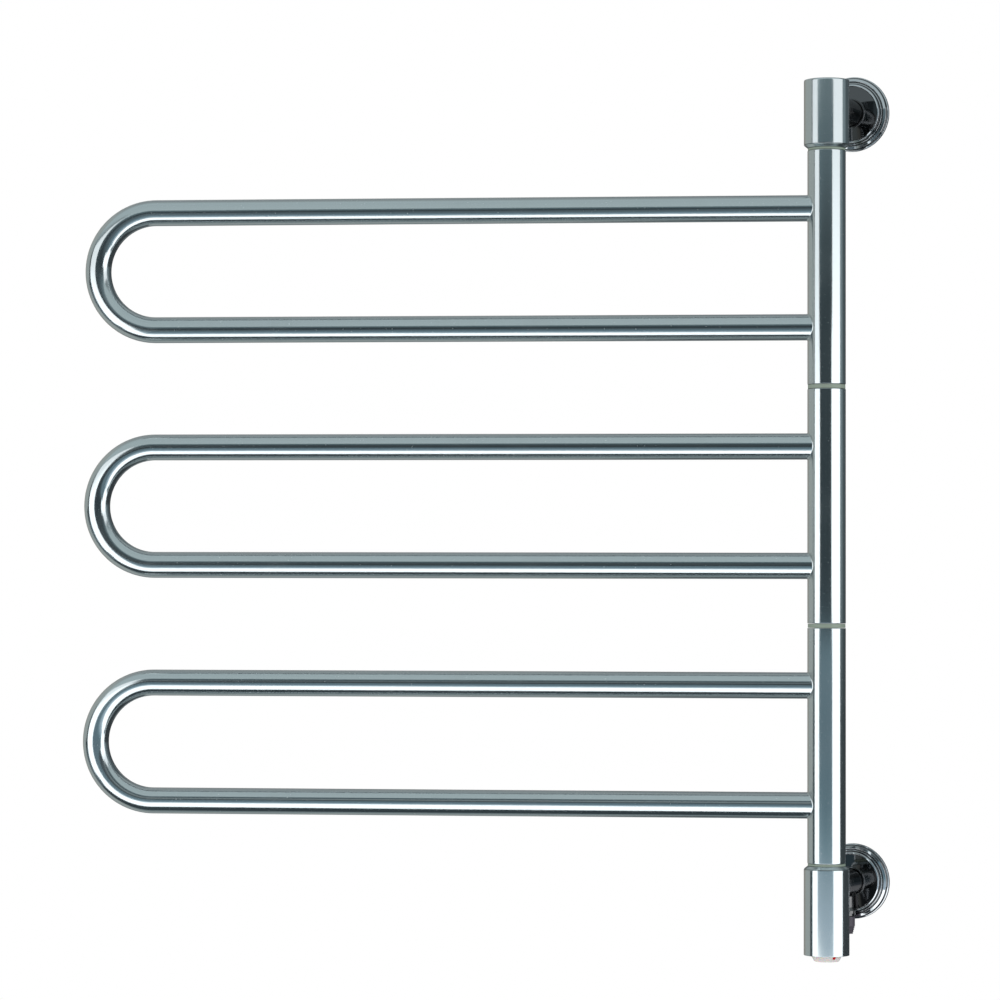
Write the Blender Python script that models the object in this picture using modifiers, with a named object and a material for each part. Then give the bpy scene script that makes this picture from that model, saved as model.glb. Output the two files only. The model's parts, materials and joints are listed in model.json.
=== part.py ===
"""Wall-mounted electric towel warmer with three swivelling hairpin arms.

Metres, +Z up, +Y into the wall, +X to the right when facing the wall.
The origin is the centre of the upper wall plate's back face, on the wall plane.
"""
import math

import bmesh
import bpy
from mathutils import Matrix, Vector

# Driving dimensions --------------------------------------------------------
GAP = 0.0003                  # clearance kept between touching pieces
ROUND = 32                    # facets round the large turned pieces
ROUND_SMALL = 24              # facets round the small turned pieces
ROUND_TINY = 12               # facets round screws and pins

POST_STANDOFF = 0.076         # wall plane to post axis
BRACKET_DROP = 0.656          # upper bracket axis down to lower bracket axis

SLEEVE_RADIUS = 0.016
SLEEVE_WALL = 0.0015
SLEEVE_LENGTH = 0.196
ARM_PITCH = 0.200
FIRST_ARM_DROP = 0.138        # upper bracket axis down to the upper arm's middle
ARM_REACH = 0.6303            # post axis to the far end of the hairpin
ARM_SWING = math.radians(17.5)  # how far the arms stand out from the wall
BAR_RADIUS = 0.011
BAR_WALL = 0.0013
BEND_RADIUS = 0.050           # to the tube's centre line
BEND_STEPS = 10
BAR_SIDES = 16

HOUSING_RADIUS = 0.019
HOUSING_WALL = 0.002
HOUSING_TOP = 0.0196          # above the upper bracket axis
LOWER_RIM_DROP = 0.7124       # upper bracket axis down to the lower housing's rim
CHAMFER_HEIGHT = 0.0024
END_RING_SPACE = 0.0024       # between an end collar and its sleeve
CROWN_ROUND = 0.0012          # small round on the top edge of the upper housing

SPINDLE_RADIUS = 0.010
SPINDLE_BORE = 0.0085
BUSH_HEIGHT = 0.014
BUSH_INSET = 0.003            # bush to the sleeve's end
WIRE_HOLE_RADIUS = 0.006

BRACKET_RADIUS = 0.011
BRACKET_BORE = 0.009
PLATE_RADIUS = 0.026
PLATE_THICKNESS = 0.003
HUB_RADIUS = 0.0087
HUB_HEIGHT = 0.013
HUB_BORE = 0.0055
SCREW_HOLE_OFFSET = 0.018     # wall screw hole to the plate's centre
SCREW_HOLE_RADIUS = 0.0026
SCREW_HEAD_RADIUS = 0.0046
GRUB_HEIGHT = 0.0065          # wall plane to the bracket grub screw
GRUB_SEAT = 0.0070            # bracket axis to the bottom of the screw's seat in the hub
GRUB_RADIUS = 0.0025

GLAND_STANDOFF = 0.0162       # wall plane to the gland's axis
GLAND_BORE = 0.0028

STOP_DROP = 0.070             # arm's middle down to its swing stop
STOP_SCREW_RADIUS = 0.0015
STOP_FLOOR_RADIUS = 0.0113    # bottom of the notch that the stop screw runs in

ROCKER_TILT = math.radians(8)
ROCKER_PIN_RISE = 0.0011      # lower housing's rim up to the rocker pin
ROCKER_BORE = 0.0011
SWITCH_TOP_RISE = 0.0224      # lower housing's rim up to the switch body's top
BLOCK_TOP_RISE = 0.0464       # lower housing's rim up to the terminal block's top
BLOCK_HEIGHT = 0.0130
SOCKET_RADIUS = 0.0014

# Worked out from the driving dimensions ------------------------------------
ARM_NAMES = ("upper", "middle", "lower")
ARM_HEIGHTS = [-FIRST_ARM_DROP - index * ARM_PITCH for index in range(len(ARM_NAMES))]
SLEEVE_BORE = SLEEVE_RADIUS - SLEEVE_WALL
STACK_TOP = ARM_HEIGHTS[0] + SLEEVE_LENGTH / 2
STACK_BOTTOM = ARM_HEIGHTS[-1] - SLEEVE_LENGTH / 2
UPPER_COLLAR_Z = STACK_TOP + END_RING_SPACE
LOWER_COLLAR_Z = STACK_BOTTOM - END_RING_SPACE
HOUSING_BORE = HOUSING_RADIUS - HOUSING_WALL
COLLAR_SPIGOT = 0.010         # how far an end collar reaches into its housing
NUT_THICKNESS = 0.006
POST_AXIS = Vector((0, -POST_STANDOFF, 0))
RIM_CENTRE = Vector((0, -POST_STANDOFF, -LOWER_RIM_DROP))
OUT_OF_WALL = Matrix.Rotation(math.radians(90), 4, "X")   # local +Z points out of the wall
ALONG_ARM = Matrix.Rotation(math.radians(90), 4, "Y")


# Scene helpers -------------------------------------------------------------
def clear_scene():
    for obj in list(bpy.data.objects):
        bpy.data.objects.remove(obj)


def new_collection(name):
    collection = bpy.data.collections.new(name)
    bpy.context.scene.collection.children.link(collection)
    return collection


clear_scene()
parts = new_collection("towel_warmer")
cutters = new_collection("cutters")


def finish(name, color, roughness, metallic, alpha=1.0):
    material = bpy.data.materials.new(name)
    material.use_nodes = True
    shader = material.node_tree.nodes["Principled BSDF"]
    shader.inputs["Base Color"].default_value = (*color, 1.0)
    shader.inputs["Roughness"].default_value = roughness
    shader.inputs["Metallic"].default_value = metallic
    shader.inputs["Alpha"].default_value = alpha
    return material


def add_part(name, data, material, matrix=None, parent=None):
    obj = bpy.data.objects.new(name, data)
    parts.objects.link(obj)
    place(obj, matrix, parent)
    data.materials.append(material)
    return obj


def add_cutter(name, data, matrix=None, parent=None):
    obj = bpy.data.objects.new(name, data)
    cutters.objects.link(obj)
    place(obj, matrix, parent)
    obj.hide_render = True
    obj.display_type = "WIRE"
    return obj


def place(obj, matrix, parent):
    if parent is not None:
        obj.parent = parent
    if matrix is not None:
        obj.matrix_local = matrix


def at(x, y, z):
    return Matrix.Translation((x, y, z))


def cut(target, cutter):
    modifier = target.modifiers.new(cutter.name, "BOOLEAN")
    modifier.operation = "DIFFERENCE"
    modifier.object = cutter
    modifier.solver = "EXACT"


# Shape helpers -------------------------------------------------------------
def profile_mesh(name, outline, closed):
    """A mesh of edges in the XZ plane, from (radius, height) pairs."""
    mesh = bpy.data.meshes.new(name)
    count = len(outline)
    edges = [(index, index + 1) for index in range(count - 1)]
    if closed:
        edges.append((count - 1, 0))
    mesh.from_pydata([(radius, 0, height) for radius, height in outline], edges, [])
    return mesh


def spin(obj, steps):
    screw = obj.modifiers.new("Turn", "SCREW")
    screw.axis = "Z"
    screw.angle = math.tau
    screw.steps = steps
    screw.render_steps = steps
    screw.use_merge_vertices = True
    screw.merge_threshold = 0.00001


def turned(name, outline, material, steps=ROUND, matrix=None, parent=None, closed=True):
    """A turned piece. The outline runs down its outer side, top to bottom."""
    obj = add_part(name, profile_mesh(name, outline, closed), material, matrix, parent)
    spin(obj, steps)
    return obj


def turned_cutter(name, outline, steps=ROUND_TINY, matrix=None, parent=None, closed=False):
    obj = add_cutter(name, profile_mesh(name, outline, closed), matrix, parent)
    spin(obj, steps)
    return obj


def ring_outline(outer, inner, top, bottom):
    return [(outer, top), (outer, bottom), (inner, bottom), (inner, top)]


def cylinder_mesh(name, radius, depth, sides):
    mesh = bpy.data.meshes.new(name)
    shape = bmesh.new()
    bmesh.ops.create_cone(shape, cap_ends=True, segments=sides,
                          radius1=radius, radius2=radius, depth=depth)
    shape.to_mesh(mesh)
    shape.free()
    mesh.shade_smooth()
    mesh.set_sharp_from_angle(angle=math.radians(40))
    return mesh


def box_mesh(name, size):
    mesh = bpy.data.meshes.new(name)
    shape = bmesh.new()
    bmesh.ops.create_cube(shape, size=1.0, matrix=Matrix.Diagonal((*size, 1.0)))
    shape.to_mesh(mesh)
    shape.free()
    return mesh


def path_curve(name, points, radius, resolution, capped):
    """A straight-segment curve with a round section of 4 + 2 * resolution sides."""
    curve = bpy.data.curves.new(name, "CURVE")
    curve.dimensions = "3D"
    curve.bevel_depth = radius
    curve.bevel_resolution = resolution
    curve.use_fill_caps = capped
    spline = curve.splines.new("POLY")
    spline.points.add(len(points) - 1)
    for slot, point in zip(spline.points, points):
        slot.co = (*point, 1.0)
    return curve


def hairpin_path(start, side_offset=0.0):
    """Out along one leg, round the bend and back, in an arm's own frame."""
    bend_centre = -(ARM_REACH - BAR_RADIUS - BEND_RADIUS)
    radius = BEND_RADIUS - side_offset
    points = [(-start, 0, radius)]
    for step in range(BEND_STEPS + 1):
        angle = math.pi / 2 + math.pi * step / BEND_STEPS
        points.append((bend_centre + radius * math.cos(angle), 0, radius * math.sin(angle)))
    points.append((-start, 0, -radius))
    return points


def bent_tube(name, points, radius, wall, sides, material, parent):
    """A hollow bent tube with open ends, as a mesh that can be cut."""
    curve = path_curve(name, points, radius, (sides - 4) // 2, capped=False)
    guide = bpy.data.objects.new(name + "_guide", curve)
    parts.objects.link(guide)
    bpy.context.view_layer.update()
    graph = bpy.context.evaluated_depsgraph_get()
    mesh = bpy.data.meshes.new_from_object(guide.evaluated_get(graph))
    shape = bmesh.new()
    shape.from_mesh(mesh)
    bmesh.ops.remove_doubles(shape, verts=shape.verts, dist=0.00001)
    shape.to_mesh(mesh)
    shape.free()
    bpy.data.objects.remove(guide)
    mesh.shade_smooth()
    mesh.materials.clear()
    obj = add_part(name, mesh, material, None, parent)
    shell = obj.modifiers.new("Wall", "SOLIDIFY")
    shell.thickness = wall
    shell.offset = -1
    return obj


# Finishes ------------------------------------------------------------------
def make_finishes():
    return {
        "satin_steel": finish("satin_steel", (0.56, 0.60, 0.60), 0.22, 1.0),
        "mirror_chrome": finish("mirror_chrome", (0.80, 0.81, 0.83), 0.04, 1.0),
        "swivel_nylon": finish("swivel_nylon", (0.50, 0.58, 0.47), 0.45, 0.0),
        "zinc_steel": finish("zinc_steel", (0.62, 0.62, 0.60), 0.40, 1.0),
        "element_sheath": finish("element_sheath", (0.42, 0.41, 0.39), 0.50, 1.0),
        "clear_silicone": finish("clear_silicone", (0.90, 0.80, 0.78), 0.25, 0.0, 0.6),
        "rocker_red": finish("rocker_red", (0.75, 0.02, 0.02), 0.30, 0.0),
        "black_plastic": finish("black_plastic", (0.04, 0.04, 0.045), 0.45, 0.0),
        "gland_nylon": finish("gland_nylon", (0.16, 0.14, 0.18), 0.50, 0.0),
        "terminal_white": finish("terminal_white", (0.78, 0.78, 0.74), 0.45, 0.0),
        "terminal_brass": finish("terminal_brass", (0.70, 0.55, 0.28), 0.35, 1.0),
        "lead_brown": finish("lead_brown", (0.22, 0.10, 0.05), 0.45, 0.0),
        "lead_blue": finish("lead_blue", (0.05, 0.16, 0.42), 0.45, 0.0),
    }


# Wall brackets -------------------------------------------------------------
def wall_plate(label, height, looks):
    """Steel disc with a blind hub that the bracket arm slides over."""
    matrix = at(0, 0, height) @ OUT_OF_WALL
    outline = [
        (0, PLATE_THICKNESS),
        (HUB_BORE, PLATE_THICKNESS),
        (HUB_BORE, HUB_HEIGHT),
        (HUB_RADIUS, HUB_HEIGHT),
        (HUB_RADIUS, PLATE_THICKNESS),
        (PLATE_RADIUS, PLATE_THICKNESS),
        (PLATE_RADIUS, 0),
        (0, 0),
    ]
    plate = turned(label + "_wall_plate", outline, looks["zinc_steel"],
                   ROUND_SMALL, matrix, closed=False)
    sink = SCREW_HEAD_RADIUS - SCREW_HOLE_RADIUS
    hole = [
        (0, PLATE_THICKNESS + GAP),
        (SCREW_HEAD_RADIUS, PLATE_THICKNESS + GAP),
        (SCREW_HEAD_RADIUS, PLATE_THICKNESS - GAP),
        (SCREW_HOLE_RADIUS, PLATE_THICKNESS - sink - GAP),
        (SCREW_HOLE_RADIUS, -0.001),
        (0, -0.001),
    ]
    for side in (-1, 1):
        place_hole = at(side * SCREW_HOLE_OFFSET, 0, height) @ OUT_OF_WALL
        cut(plate, turned_cutter(f"{label}_screw_hole_{side}", hole, matrix=place_hole))
    seat = cylinder_mesh("grub_seat", GRUB_RADIUS + GAP, 0.004, ROUND_TINY)
    cut(plate, add_cutter(label + "_grub_seat", seat,
                          at(0, -GRUB_HEIGHT, height - GRUB_SEAT - 0.002)))


ROSETTE_FACE = [
    (0.0126, 0.0100),
    (0.0126, 0.0090),
    (0.0232, 0.0085),
    (0.0238, 0.0091),
    (0.0248, 0.0089),
    (0.0254, 0.0078),
    (0.0256, 0.0062),
    (0.0302, 0.0052),
    (0.0308, 0.0044),
    (0.0310, 0.0032),
    (0.0320, 0.0028),
    (0.0320, 0.0),
]
ROSETTE_BACK = [
    (0.0308, 0.0),
    (0.0308, 0.0017),
    (0.0270, 0.0038),
    (0.0246, 0.0054),
    (0.0230, 0.0070),
    (BRACKET_RADIUS + GAP, 0.0073),
    (BRACKET_RADIUS + GAP, 0.0100),
]


def rosette(label, height, looks):
    """Thin cover with a flat face and stepped rings that hides the wall plate."""
    matrix = at(0, 0, height) @ OUT_OF_WALL
    return turned(label + "_rosette", ROSETTE_FACE + ROSETTE_BACK,
                  looks["mirror_chrome"], 28, matrix)


def bracket_arm(label, height, looks):
    """Short tube from the wall plate's hub to the back of the housing."""
    start = PLATE_THICKNESS + GAP
    end = POST_STANDOFF
    arm = turned(label + "_bracket_arm",
                 ring_outline(BRACKET_RADIUS, BRACKET_BORE, end, start),
                 looks["mirror_chrome"], ROUND_SMALL, at(0, 0, height) @ OUT_OF_WALL)
    cope = cylinder_mesh("cope", HOUSING_RADIUS + GAP, 0.06, ROUND)
    cut(arm, add_cutter(label + "_arm_cope", cope, at(0, -POST_STANDOFF, height)))
    grub_hole = cylinder_mesh("grub_hole", GRUB_RADIUS + GAP, 0.006, ROUND_TINY)
    cut(arm, add_cutter(label + "_grub_hole", grub_hole,
                        at(0, -GRUB_HEIGHT, height - BRACKET_RADIUS)))
    screw_length = 0.0035
    screw_top = height - GRUB_SEAT - GAP
    screw = add_part(label + "_bracket_grub_screw",
                     cylinder_mesh("grub_screw", GRUB_RADIUS, screw_length, ROUND_TINY),
                     looks["zinc_steel"], at(0, -GRUB_HEIGHT, screw_top - screw_length / 2))
    socket = cylinder_mesh("hex_socket", SOCKET_RADIUS, 0.002, 6)
    cut(screw, add_cutter(label + "_hex_socket", socket,
                          at(0, -GRUB_HEIGHT, screw_top - screw_length)))
    return arm


def supply_gland(lower_arm, looks):
    """Metal ferrule and tapered nylon gland on the underside of the lower bracket."""
    axis = at(0, -GLAND_STANDOFF, -BRACKET_DROP)
    shank = 0.0045
    pass_hole = cylinder_mesh("pass_hole", shank + GAP, 0.020, ROUND_TINY)
    cut(lower_arm, add_cutter("arm_lead_hole", pass_hole, axis @ at(0, -0.002, -0.010)))
    ferrule_bottom = -0.0285
    ferrule_bore = GLAND_BORE + 0.0008
    outline = [
        (shank, -0.0118),
        (shank, -0.0210),
        (0.0062, -0.0240),
        (0.0062, -0.0262),
        (0.0058, ferrule_bottom),
        (ferrule_bore, ferrule_bottom),
        (ferrule_bore, -0.0118),
    ]
    turned("gland_ferrule", outline, looks["mirror_chrome"], ROUND_SMALL, axis)
    gland_top = ferrule_bottom - GAP
    gland_tip = -0.0435
    gland = [
        (0.0058, gland_top),
        (0.0058, gland_top - 0.0085),
        (0.0042, gland_tip),
        (GLAND_BORE, gland_tip),
        (GLAND_BORE, gland_top),
    ]
    turned("cord_gland", gland, looks["gland_nylon"], ROUND_SMALL, axis)


def brackets(looks):
    wall_plate("upper", 0, looks)
    rosette("upper", 0, looks)
    bracket_arm("upper", 0, looks)
    wall_plate("lower", -BRACKET_DROP, looks)
    rosette("lower", -BRACKET_DROP, looks)
    lower_arm = bracket_arm("lower", -BRACKET_DROP, looks)
    supply_gland(lower_arm, looks)


# Post ----------------------------------------------------------------------
def housing_wire_hole(label, height, housing):
    """Way through the housing's back wall, in line with the bracket arm."""
    drill = cylinder_mesh("wire_hole", WIRE_HOLE_RADIUS, 0.010, ROUND_TINY)
    matrix = at(0, HOUSING_BORE - POST_STANDOFF + HOUSING_WALL / 2, height) @ OUT_OF_WALL
    cut(housing, add_cutter(label + "_wire_hole", drill, matrix))


def upper_housing(looks):
    rim = UPPER_COLLAR_Z + CHAMFER_HEIGHT + GAP
    ceiling = HOUSING_TOP - 0.0025
    outline = [
        (0, HOUSING_TOP),
        (HOUSING_RADIUS - CROWN_ROUND, HOUSING_TOP),
        (HOUSING_RADIUS - CROWN_ROUND * 0.29, HOUSING_TOP - CROWN_ROUND * 0.29),
        (HOUSING_RADIUS, HOUSING_TOP - CROWN_ROUND),
        (HOUSING_RADIUS, rim),
        (HOUSING_BORE, rim),
        (HOUSING_BORE, ceiling),
        (0, ceiling),
    ]
    housing = turned("upper_housing", outline, looks["satin_steel"], ROUND,
                     Matrix.Translation(POST_AXIS), closed=False)
    housing_wire_hole("upper", 0, housing)


def lower_housing(looks):
    top = LOWER_COLLAR_Z - CHAMFER_HEIGHT - GAP
    housing = turned("lower_housing",
                     ring_outline(HOUSING_RADIUS, HOUSING_BORE, top, -LOWER_RIM_DROP),
                     looks["satin_steel"], ROUND, Matrix.Translation(POST_AXIS))
    housing_wire_hole("lower", -BRACKET_DROP, housing)


def end_collar(label, face, inward, looks):
    """Turned plug with the visible chamfer; inward is +1 above the arms, -1 below."""
    spigot = HOUSING_BORE - GAP
    outline = [
        (spigot, face + inward * (CHAMFER_HEIGHT + COLLAR_SPIGOT)),
        (spigot, face + inward * CHAMFER_HEIGHT),
        (HOUSING_RADIUS, face + inward * CHAMFER_HEIGHT),
        (SLEEVE_RADIUS, face),
        (SPINDLE_RADIUS + GAP, face),
        (SPINDLE_RADIUS + GAP, face + inward * (CHAMFER_HEIGHT + COLLAR_SPIGOT)),
    ]
    if inward < 0:
        outline.reverse()
    turned(label + "_end_collar", outline, looks["satin_steel"], ROUND,
           Matrix.Translation(POST_AXIS))


def spindle_nut(label, face, inward, looks):
    start = face + inward * (CHAMFER_HEIGHT + COLLAR_SPIGOT + GAP)
    middle = start + inward * NUT_THICKNESS / 2
    matrix = Matrix.Translation(POST_AXIS) @ at(0, 0, middle)
    nut = add_part(label + "_spindle_nut", cylinder_mesh("nut", 0.0155, NUT_THICKNESS, 6),
                   looks["zinc_steel"], matrix)
    bore = cylinder_mesh("nut_bore", SPINDLE_RADIUS + GAP, 0.02, ROUND_SMALL)
    cut(nut, add_cutter(label + "_nut_bore", bore, matrix))


def spindle_tube(looks):
    """Fixed tube that carries the sleeves and the leads, with a window at each arm."""
    reach = CHAMFER_HEIGHT + COLLAR_SPIGOT + NUT_THICKNESS + 0.003
    tube = turned("spindle_tube",
                  ring_outline(SPINDLE_RADIUS, SPINDLE_BORE,
                               UPPER_COLLAR_Z + reach, LOWER_COLLAR_Z - reach),
                  looks["zinc_steel"], ROUND_SMALL, Matrix.Translation(POST_AXIS))
    for label, height in zip(ARM_NAMES, ARM_HEIGHTS):
        window = box_mesh("window", (0.008, 0.007, 0.026))
        matrix = Matrix.Translation(POST_AXIS) @ at(-SPINDLE_RADIUS, 0, height)
        cut(tube, add_cutter(label + "_lead_window", window, matrix))


def swivel_ring(number, top, bottom, looks):
    turned(f"swivel_ring_{number}",
           ring_outline(SLEEVE_RADIUS - GAP, SPINDLE_RADIUS + GAP, top - GAP, bottom + GAP),
           looks["swivel_nylon"], ROUND, Matrix.Translation(POST_AXIS))


def swivel_rings(looks):
    """Nylon thrust rings above, between and below the sleeves."""
    half = SLEEVE_LENGTH / 2
    swivel_ring(1, UPPER_COLLAR_Z, STACK_TOP, looks)
    for index in range(len(ARM_HEIGHTS) - 1):
        swivel_ring(index + 2, ARM_HEIGHTS[index] - half, ARM_HEIGHTS[index + 1] + half, looks)
    swivel_ring(len(ARM_HEIGHTS) + 1, STACK_BOTTOM, LOWER_COLLAR_Z, looks)


def stop_collar(label, height, looks):
    """Ring on the spindle whose half-round notch limits the arm's swing."""
    matrix = Matrix.Translation(POST_AXIS) @ at(0, 0, height - STOP_DROP)
    collar = turned(label + "_stop_collar",
                    ring_outline(SLEEVE_BORE - 0.0009, SPINDLE_RADIUS + GAP, 0.004, -0.004),
                    looks["zinc_steel"], ROUND_SMALL, matrix)
    side = 0.040
    edge = STOP_SCREW_RADIUS + GAP
    notch = add_cutter(label + "_stop_notch", box_mesh("notch", (side, side, 0.012)),
                       matrix @ at(edge - side / 2, 0, 0))
    floor = cylinder_mesh("notch_floor", STOP_FLOOR_RADIUS, 0.020, ROUND_SMALL)
    cut(notch, add_cutter(label + "_notch_floor", floor, matrix))
    cut(collar, notch)


def post(looks):
    upper_housing(looks)
    lower_housing(looks)
    end_collar("upper", UPPER_COLLAR_Z, 1, looks)
    end_collar("lower", LOWER_COLLAR_Z, -1, looks)
    spindle_nut("upper", UPPER_COLLAR_Z, 1, looks)
    spindle_nut("lower", LOWER_COLLAR_Z, -1, looks)
    spindle_tube(looks)
    swivel_rings(looks)
    for label, height in zip(ARM_NAMES, ARM_HEIGHTS):
        stop_collar(label, height, looks)


# Swivelling arms -----------------------------------------------------------
def swivel_arm(label, height, looks):
    """One sleeve with its hairpin, in a frame whose -X runs along the arm."""
    pivot = bpy.data.objects.new(label + "_swivel_axis", None)
    parts.objects.link(pivot)
    pivot.location = (0, -POST_STANDOFF, height)
    pivot.rotation_euler = (0, 0, ARM_SWING)

    half = SLEEVE_LENGTH / 2
    edge = 0.0004
    sleeve = turned(label + "_sleeve", [
        (SLEEVE_RADIUS - edge, half),
        (SLEEVE_RADIUS, half - edge),
        (SLEEVE_RADIUS, -half + edge),
        (SLEEVE_RADIUS - edge, -half),
        (SLEEVE_BORE, -half),
        (SLEEVE_BORE, half),
    ], looks["satin_steel"], ROUND, None, pivot)
    for side in (1, -1):
        drill = cylinder_mesh("lead_hole", 0.007, 0.010, ROUND_TINY)
        cut(sleeve, add_cutter(f"{label}_lead_hole_{side}", drill,
                               at(-SLEEVE_RADIUS, 0, side * BEND_RADIUS) @ ALONG_ARM, pivot))
    screw_hole = cylinder_mesh("stop_hole", STOP_SCREW_RADIUS + GAP, 0.008, ROUND_TINY)
    cut(sleeve, add_cutter(label + "_stop_hole", screw_hole,
                           at(0, SLEEVE_RADIUS, -STOP_DROP) @ OUT_OF_WALL, pivot))

    hairpin = bent_tube(label + "_hairpin", hairpin_path(0.004), BAR_RADIUS, BAR_WALL,
                        BAR_SIDES, looks["satin_steel"], pivot)
    cope = cylinder_mesh("saddle", SLEEVE_RADIUS + GAP, 2 * half, ROUND)
    cut(hairpin, add_cutter(label + "_saddle", cope, None, pivot))

    bush_outline = ring_outline(SLEEVE_BORE - GAP, SPINDLE_RADIUS + GAP,
                                BUSH_HEIGHT / 2, -BUSH_HEIGHT / 2)
    bush_height = half - BUSH_INSET - BUSH_HEIGHT / 2
    for word, side in (("top", 1), ("bottom", -1)):
        turned(f"{label}_sleeve_{word}_bush", bush_outline, looks["swivel_nylon"],
               ROUND_SMALL, at(0, 0, side * bush_height), pivot)

    element = path_curve(label + "_heating_element", hairpin_path(0.0128), 0.0032, 2, True)
    add_part(label + "_heating_element", element, looks["element_sheath"], None, pivot)

    screw_length = 0.0040
    screw_middle = SLEEVE_RADIUS - 0.0002 - screw_length / 2
    add_part(label + "_stop_screw",
             cylinder_mesh("stop_screw", STOP_SCREW_RADIUS, screw_length, ROUND_TINY),
             looks["zinc_steel"], at(0, screw_middle, -STOP_DROP) @ OUT_OF_WALL, pivot)


# Switch and wiring ---------------------------------------------------------
# Heights here are counted from the lower housing's rim.
def above_rim(x, y, z):
    return Matrix.Translation(RIM_CENTRE) @ at(x, y, z)


def switch_bezel(looks):
    """Ring in the lower housing's mouth that the silicone boot sits in."""
    turned("switch_bezel", ring_outline(HOUSING_BORE - GAP, 0.0133, 0.0064, 0.0002),
           looks["black_plastic"], ROUND, above_rim(0, 0, 0))


def switch_boot(looks):
    """Thin flanged silicone cap, closed below and open to the switch above."""
    outline = [
        (0, -0.0044),
        (0.0094, -0.0044),
        (0.0122, -0.0005),
        (0.0122, 0.0082),
        (0.0164, 0.0082),
        (0.0164, 0.0067),
        (0.0130, 0.0067),
        (0.0130, -0.0008),
        (0.0102, -0.0048),
        (0.0097, -0.0052),
        (0, -0.0052),
    ]
    turned("switch_boot", outline, looks["clear_silicone"], ROUND_SMALL,
           above_rim(0, 0, 0), closed=False)


def switch_body(looks):
    """Block whose two lower ears carry the rocker's pin."""
    ear_tip = -0.0004
    slot_ceiling = 0.0052
    slot_depth = 0.0070
    height = SWITCH_TOP_RISE - ear_tip
    body = add_part("switch_body", box_mesh("switch_body", (0.0135, 0.0130, height)),
                    looks["black_plastic"], above_rim(0, 0, ear_tip + height / 2))
    slot = box_mesh("rocker_slot", (0.030, 0.0098, slot_depth))
    cut(body, add_cutter("rocker_slot", slot, above_rim(0, 0, slot_ceiling - slot_depth / 2)))
    pin_place = above_rim(0, 0, ROCKER_PIN_RISE) @ OUT_OF_WALL
    pin_hole = cylinder_mesh("pin_hole", ROCKER_BORE, 0.030, ROUND_TINY)
    cut(body, add_cutter("body_pin_hole", pin_hole, pin_place))
    pin = cylinder_mesh("rocker_pin", ROCKER_BORE - GAP, 0.0124, ROUND_TINY)
    add_part("rocker_pin", pin, looks["zinc_steel"], pin_place)
    tab_height = 0.0070
    tab_middle = SWITCH_TOP_RISE + GAP + tab_height / 2
    for number, x in enumerate((-0.005, 0.0, 0.005), start=1):
        tab = box_mesh("tab", (0.0008, 0.0048, tab_height))
        add_part(f"switch_tab_{number}", tab, looks["terminal_brass"],
                 above_rim(x, 0, tab_middle))


def switch_rocker(looks):
    """Rocker on a pin along Y, at rest with its right-hand side pressed out."""
    outline = [
        (-0.0040, 0.0030),
        (0.0040, 0.0030),
        (0.0075, -0.0010),
        (0.0075, -0.0035),
        (0.0000, -0.0022),
        (-0.0075, -0.0035),
        (-0.0075, -0.0010),
    ]
    curve = bpy.data.curves.new("switch_rocker", "CURVE")
    curve.dimensions = "2D"
    curve.fill_mode = "BOTH"
    curve.extrude = 0.0045
    spline = curve.splines.new("POLY")
    spline.points.add(len(outline) - 1)
    for slot, (x, z) in zip(spline.points, outline):
        slot.co = (x, z, 0, 1)
    spline.use_cyclic_u = True
    guide = bpy.data.objects.new("rocker_guide", curve)
    parts.objects.link(guide)
    bpy.context.view_layer.update()
    graph = bpy.context.evaluated_depsgraph_get()
    mesh = bpy.data.meshes.new_from_object(guide.evaluated_get(graph))
    bpy.data.objects.remove(guide)
    shape = bmesh.new()
    shape.from_mesh(mesh)
    bmesh.ops.remove_doubles(shape, verts=shape.verts, dist=0.00001)
    bmesh.ops.recalc_face_normals(shape, faces=shape.faces)
    shape.transform(OUT_OF_WALL)
    shape.to_mesh(mesh)
    shape.free()
    mesh.materials.clear()
    tilted = above_rim(0, 0, ROCKER_PIN_RISE) @ Matrix.Rotation(ROCKER_TILT, 4, "Y")
    rocker = add_part("switch_rocker", mesh, looks["rocker_red"], tilted)
    bore = cylinder_mesh("rocker_bore", ROCKER_BORE, 0.030, ROUND_TINY)
    cut(rocker, add_cutter("rocker_bore", bore, tilted @ OUT_OF_WALL))


def terminal_block(looks):
    """Three-way block above the switch, with its clamping screws in wells."""
    depth = 0.011
    middle = BLOCK_TOP_RISE - BLOCK_HEIGHT / 2
    block = add_part("terminal_block", box_mesh("block", (0.021, depth, BLOCK_HEIGHT)),
                     looks["terminal_white"], above_rim(0, 0, middle))
    for number, x in enumerate((-0.0065, 0.0, 0.0065), start=1):
        well = cylinder_mesh("screw_well", 0.0020, 0.008, ROUND_TINY)
        cut(block, add_cutter(f"screw_well_{number}", well,
                              above_rim(x, -depth / 2, middle) @ OUT_OF_WALL))
        screw = cylinder_mesh("terminal_screw", 0.0017, 0.0030, ROUND_TINY)
        add_part(f"terminal_screw_{number}", screw, looks["terminal_brass"],
                 above_rim(x, -0.0033, middle) @ OUT_OF_WALL)


def supply_leads(looks):
    """The two leads that climb inside the spindle from the terminal block."""
    start = -LOWER_RIM_DROP + BLOCK_TOP_RISE + GAP
    top = ARM_HEIGHTS[0] + 0.008
    for word, x, colour in (("live", -0.0030, "lead_brown"), ("neutral", 0.0030, "lead_blue")):
        points = [
            (2.0 * x, -POST_STANDOFF, start),
            (1.6 * x, -POST_STANDOFF, start + 0.004),
            (x, -POST_STANDOFF, start + 0.010),
            (x, -POST_STANDOFF, top - 0.006),
            (x - 0.001, -POST_STANDOFF, top),
        ]
        lead = path_curve(word + "_lead", points, 0.0011, 2, True)
        add_part(word + "_lead", lead, looks[colour])


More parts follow.
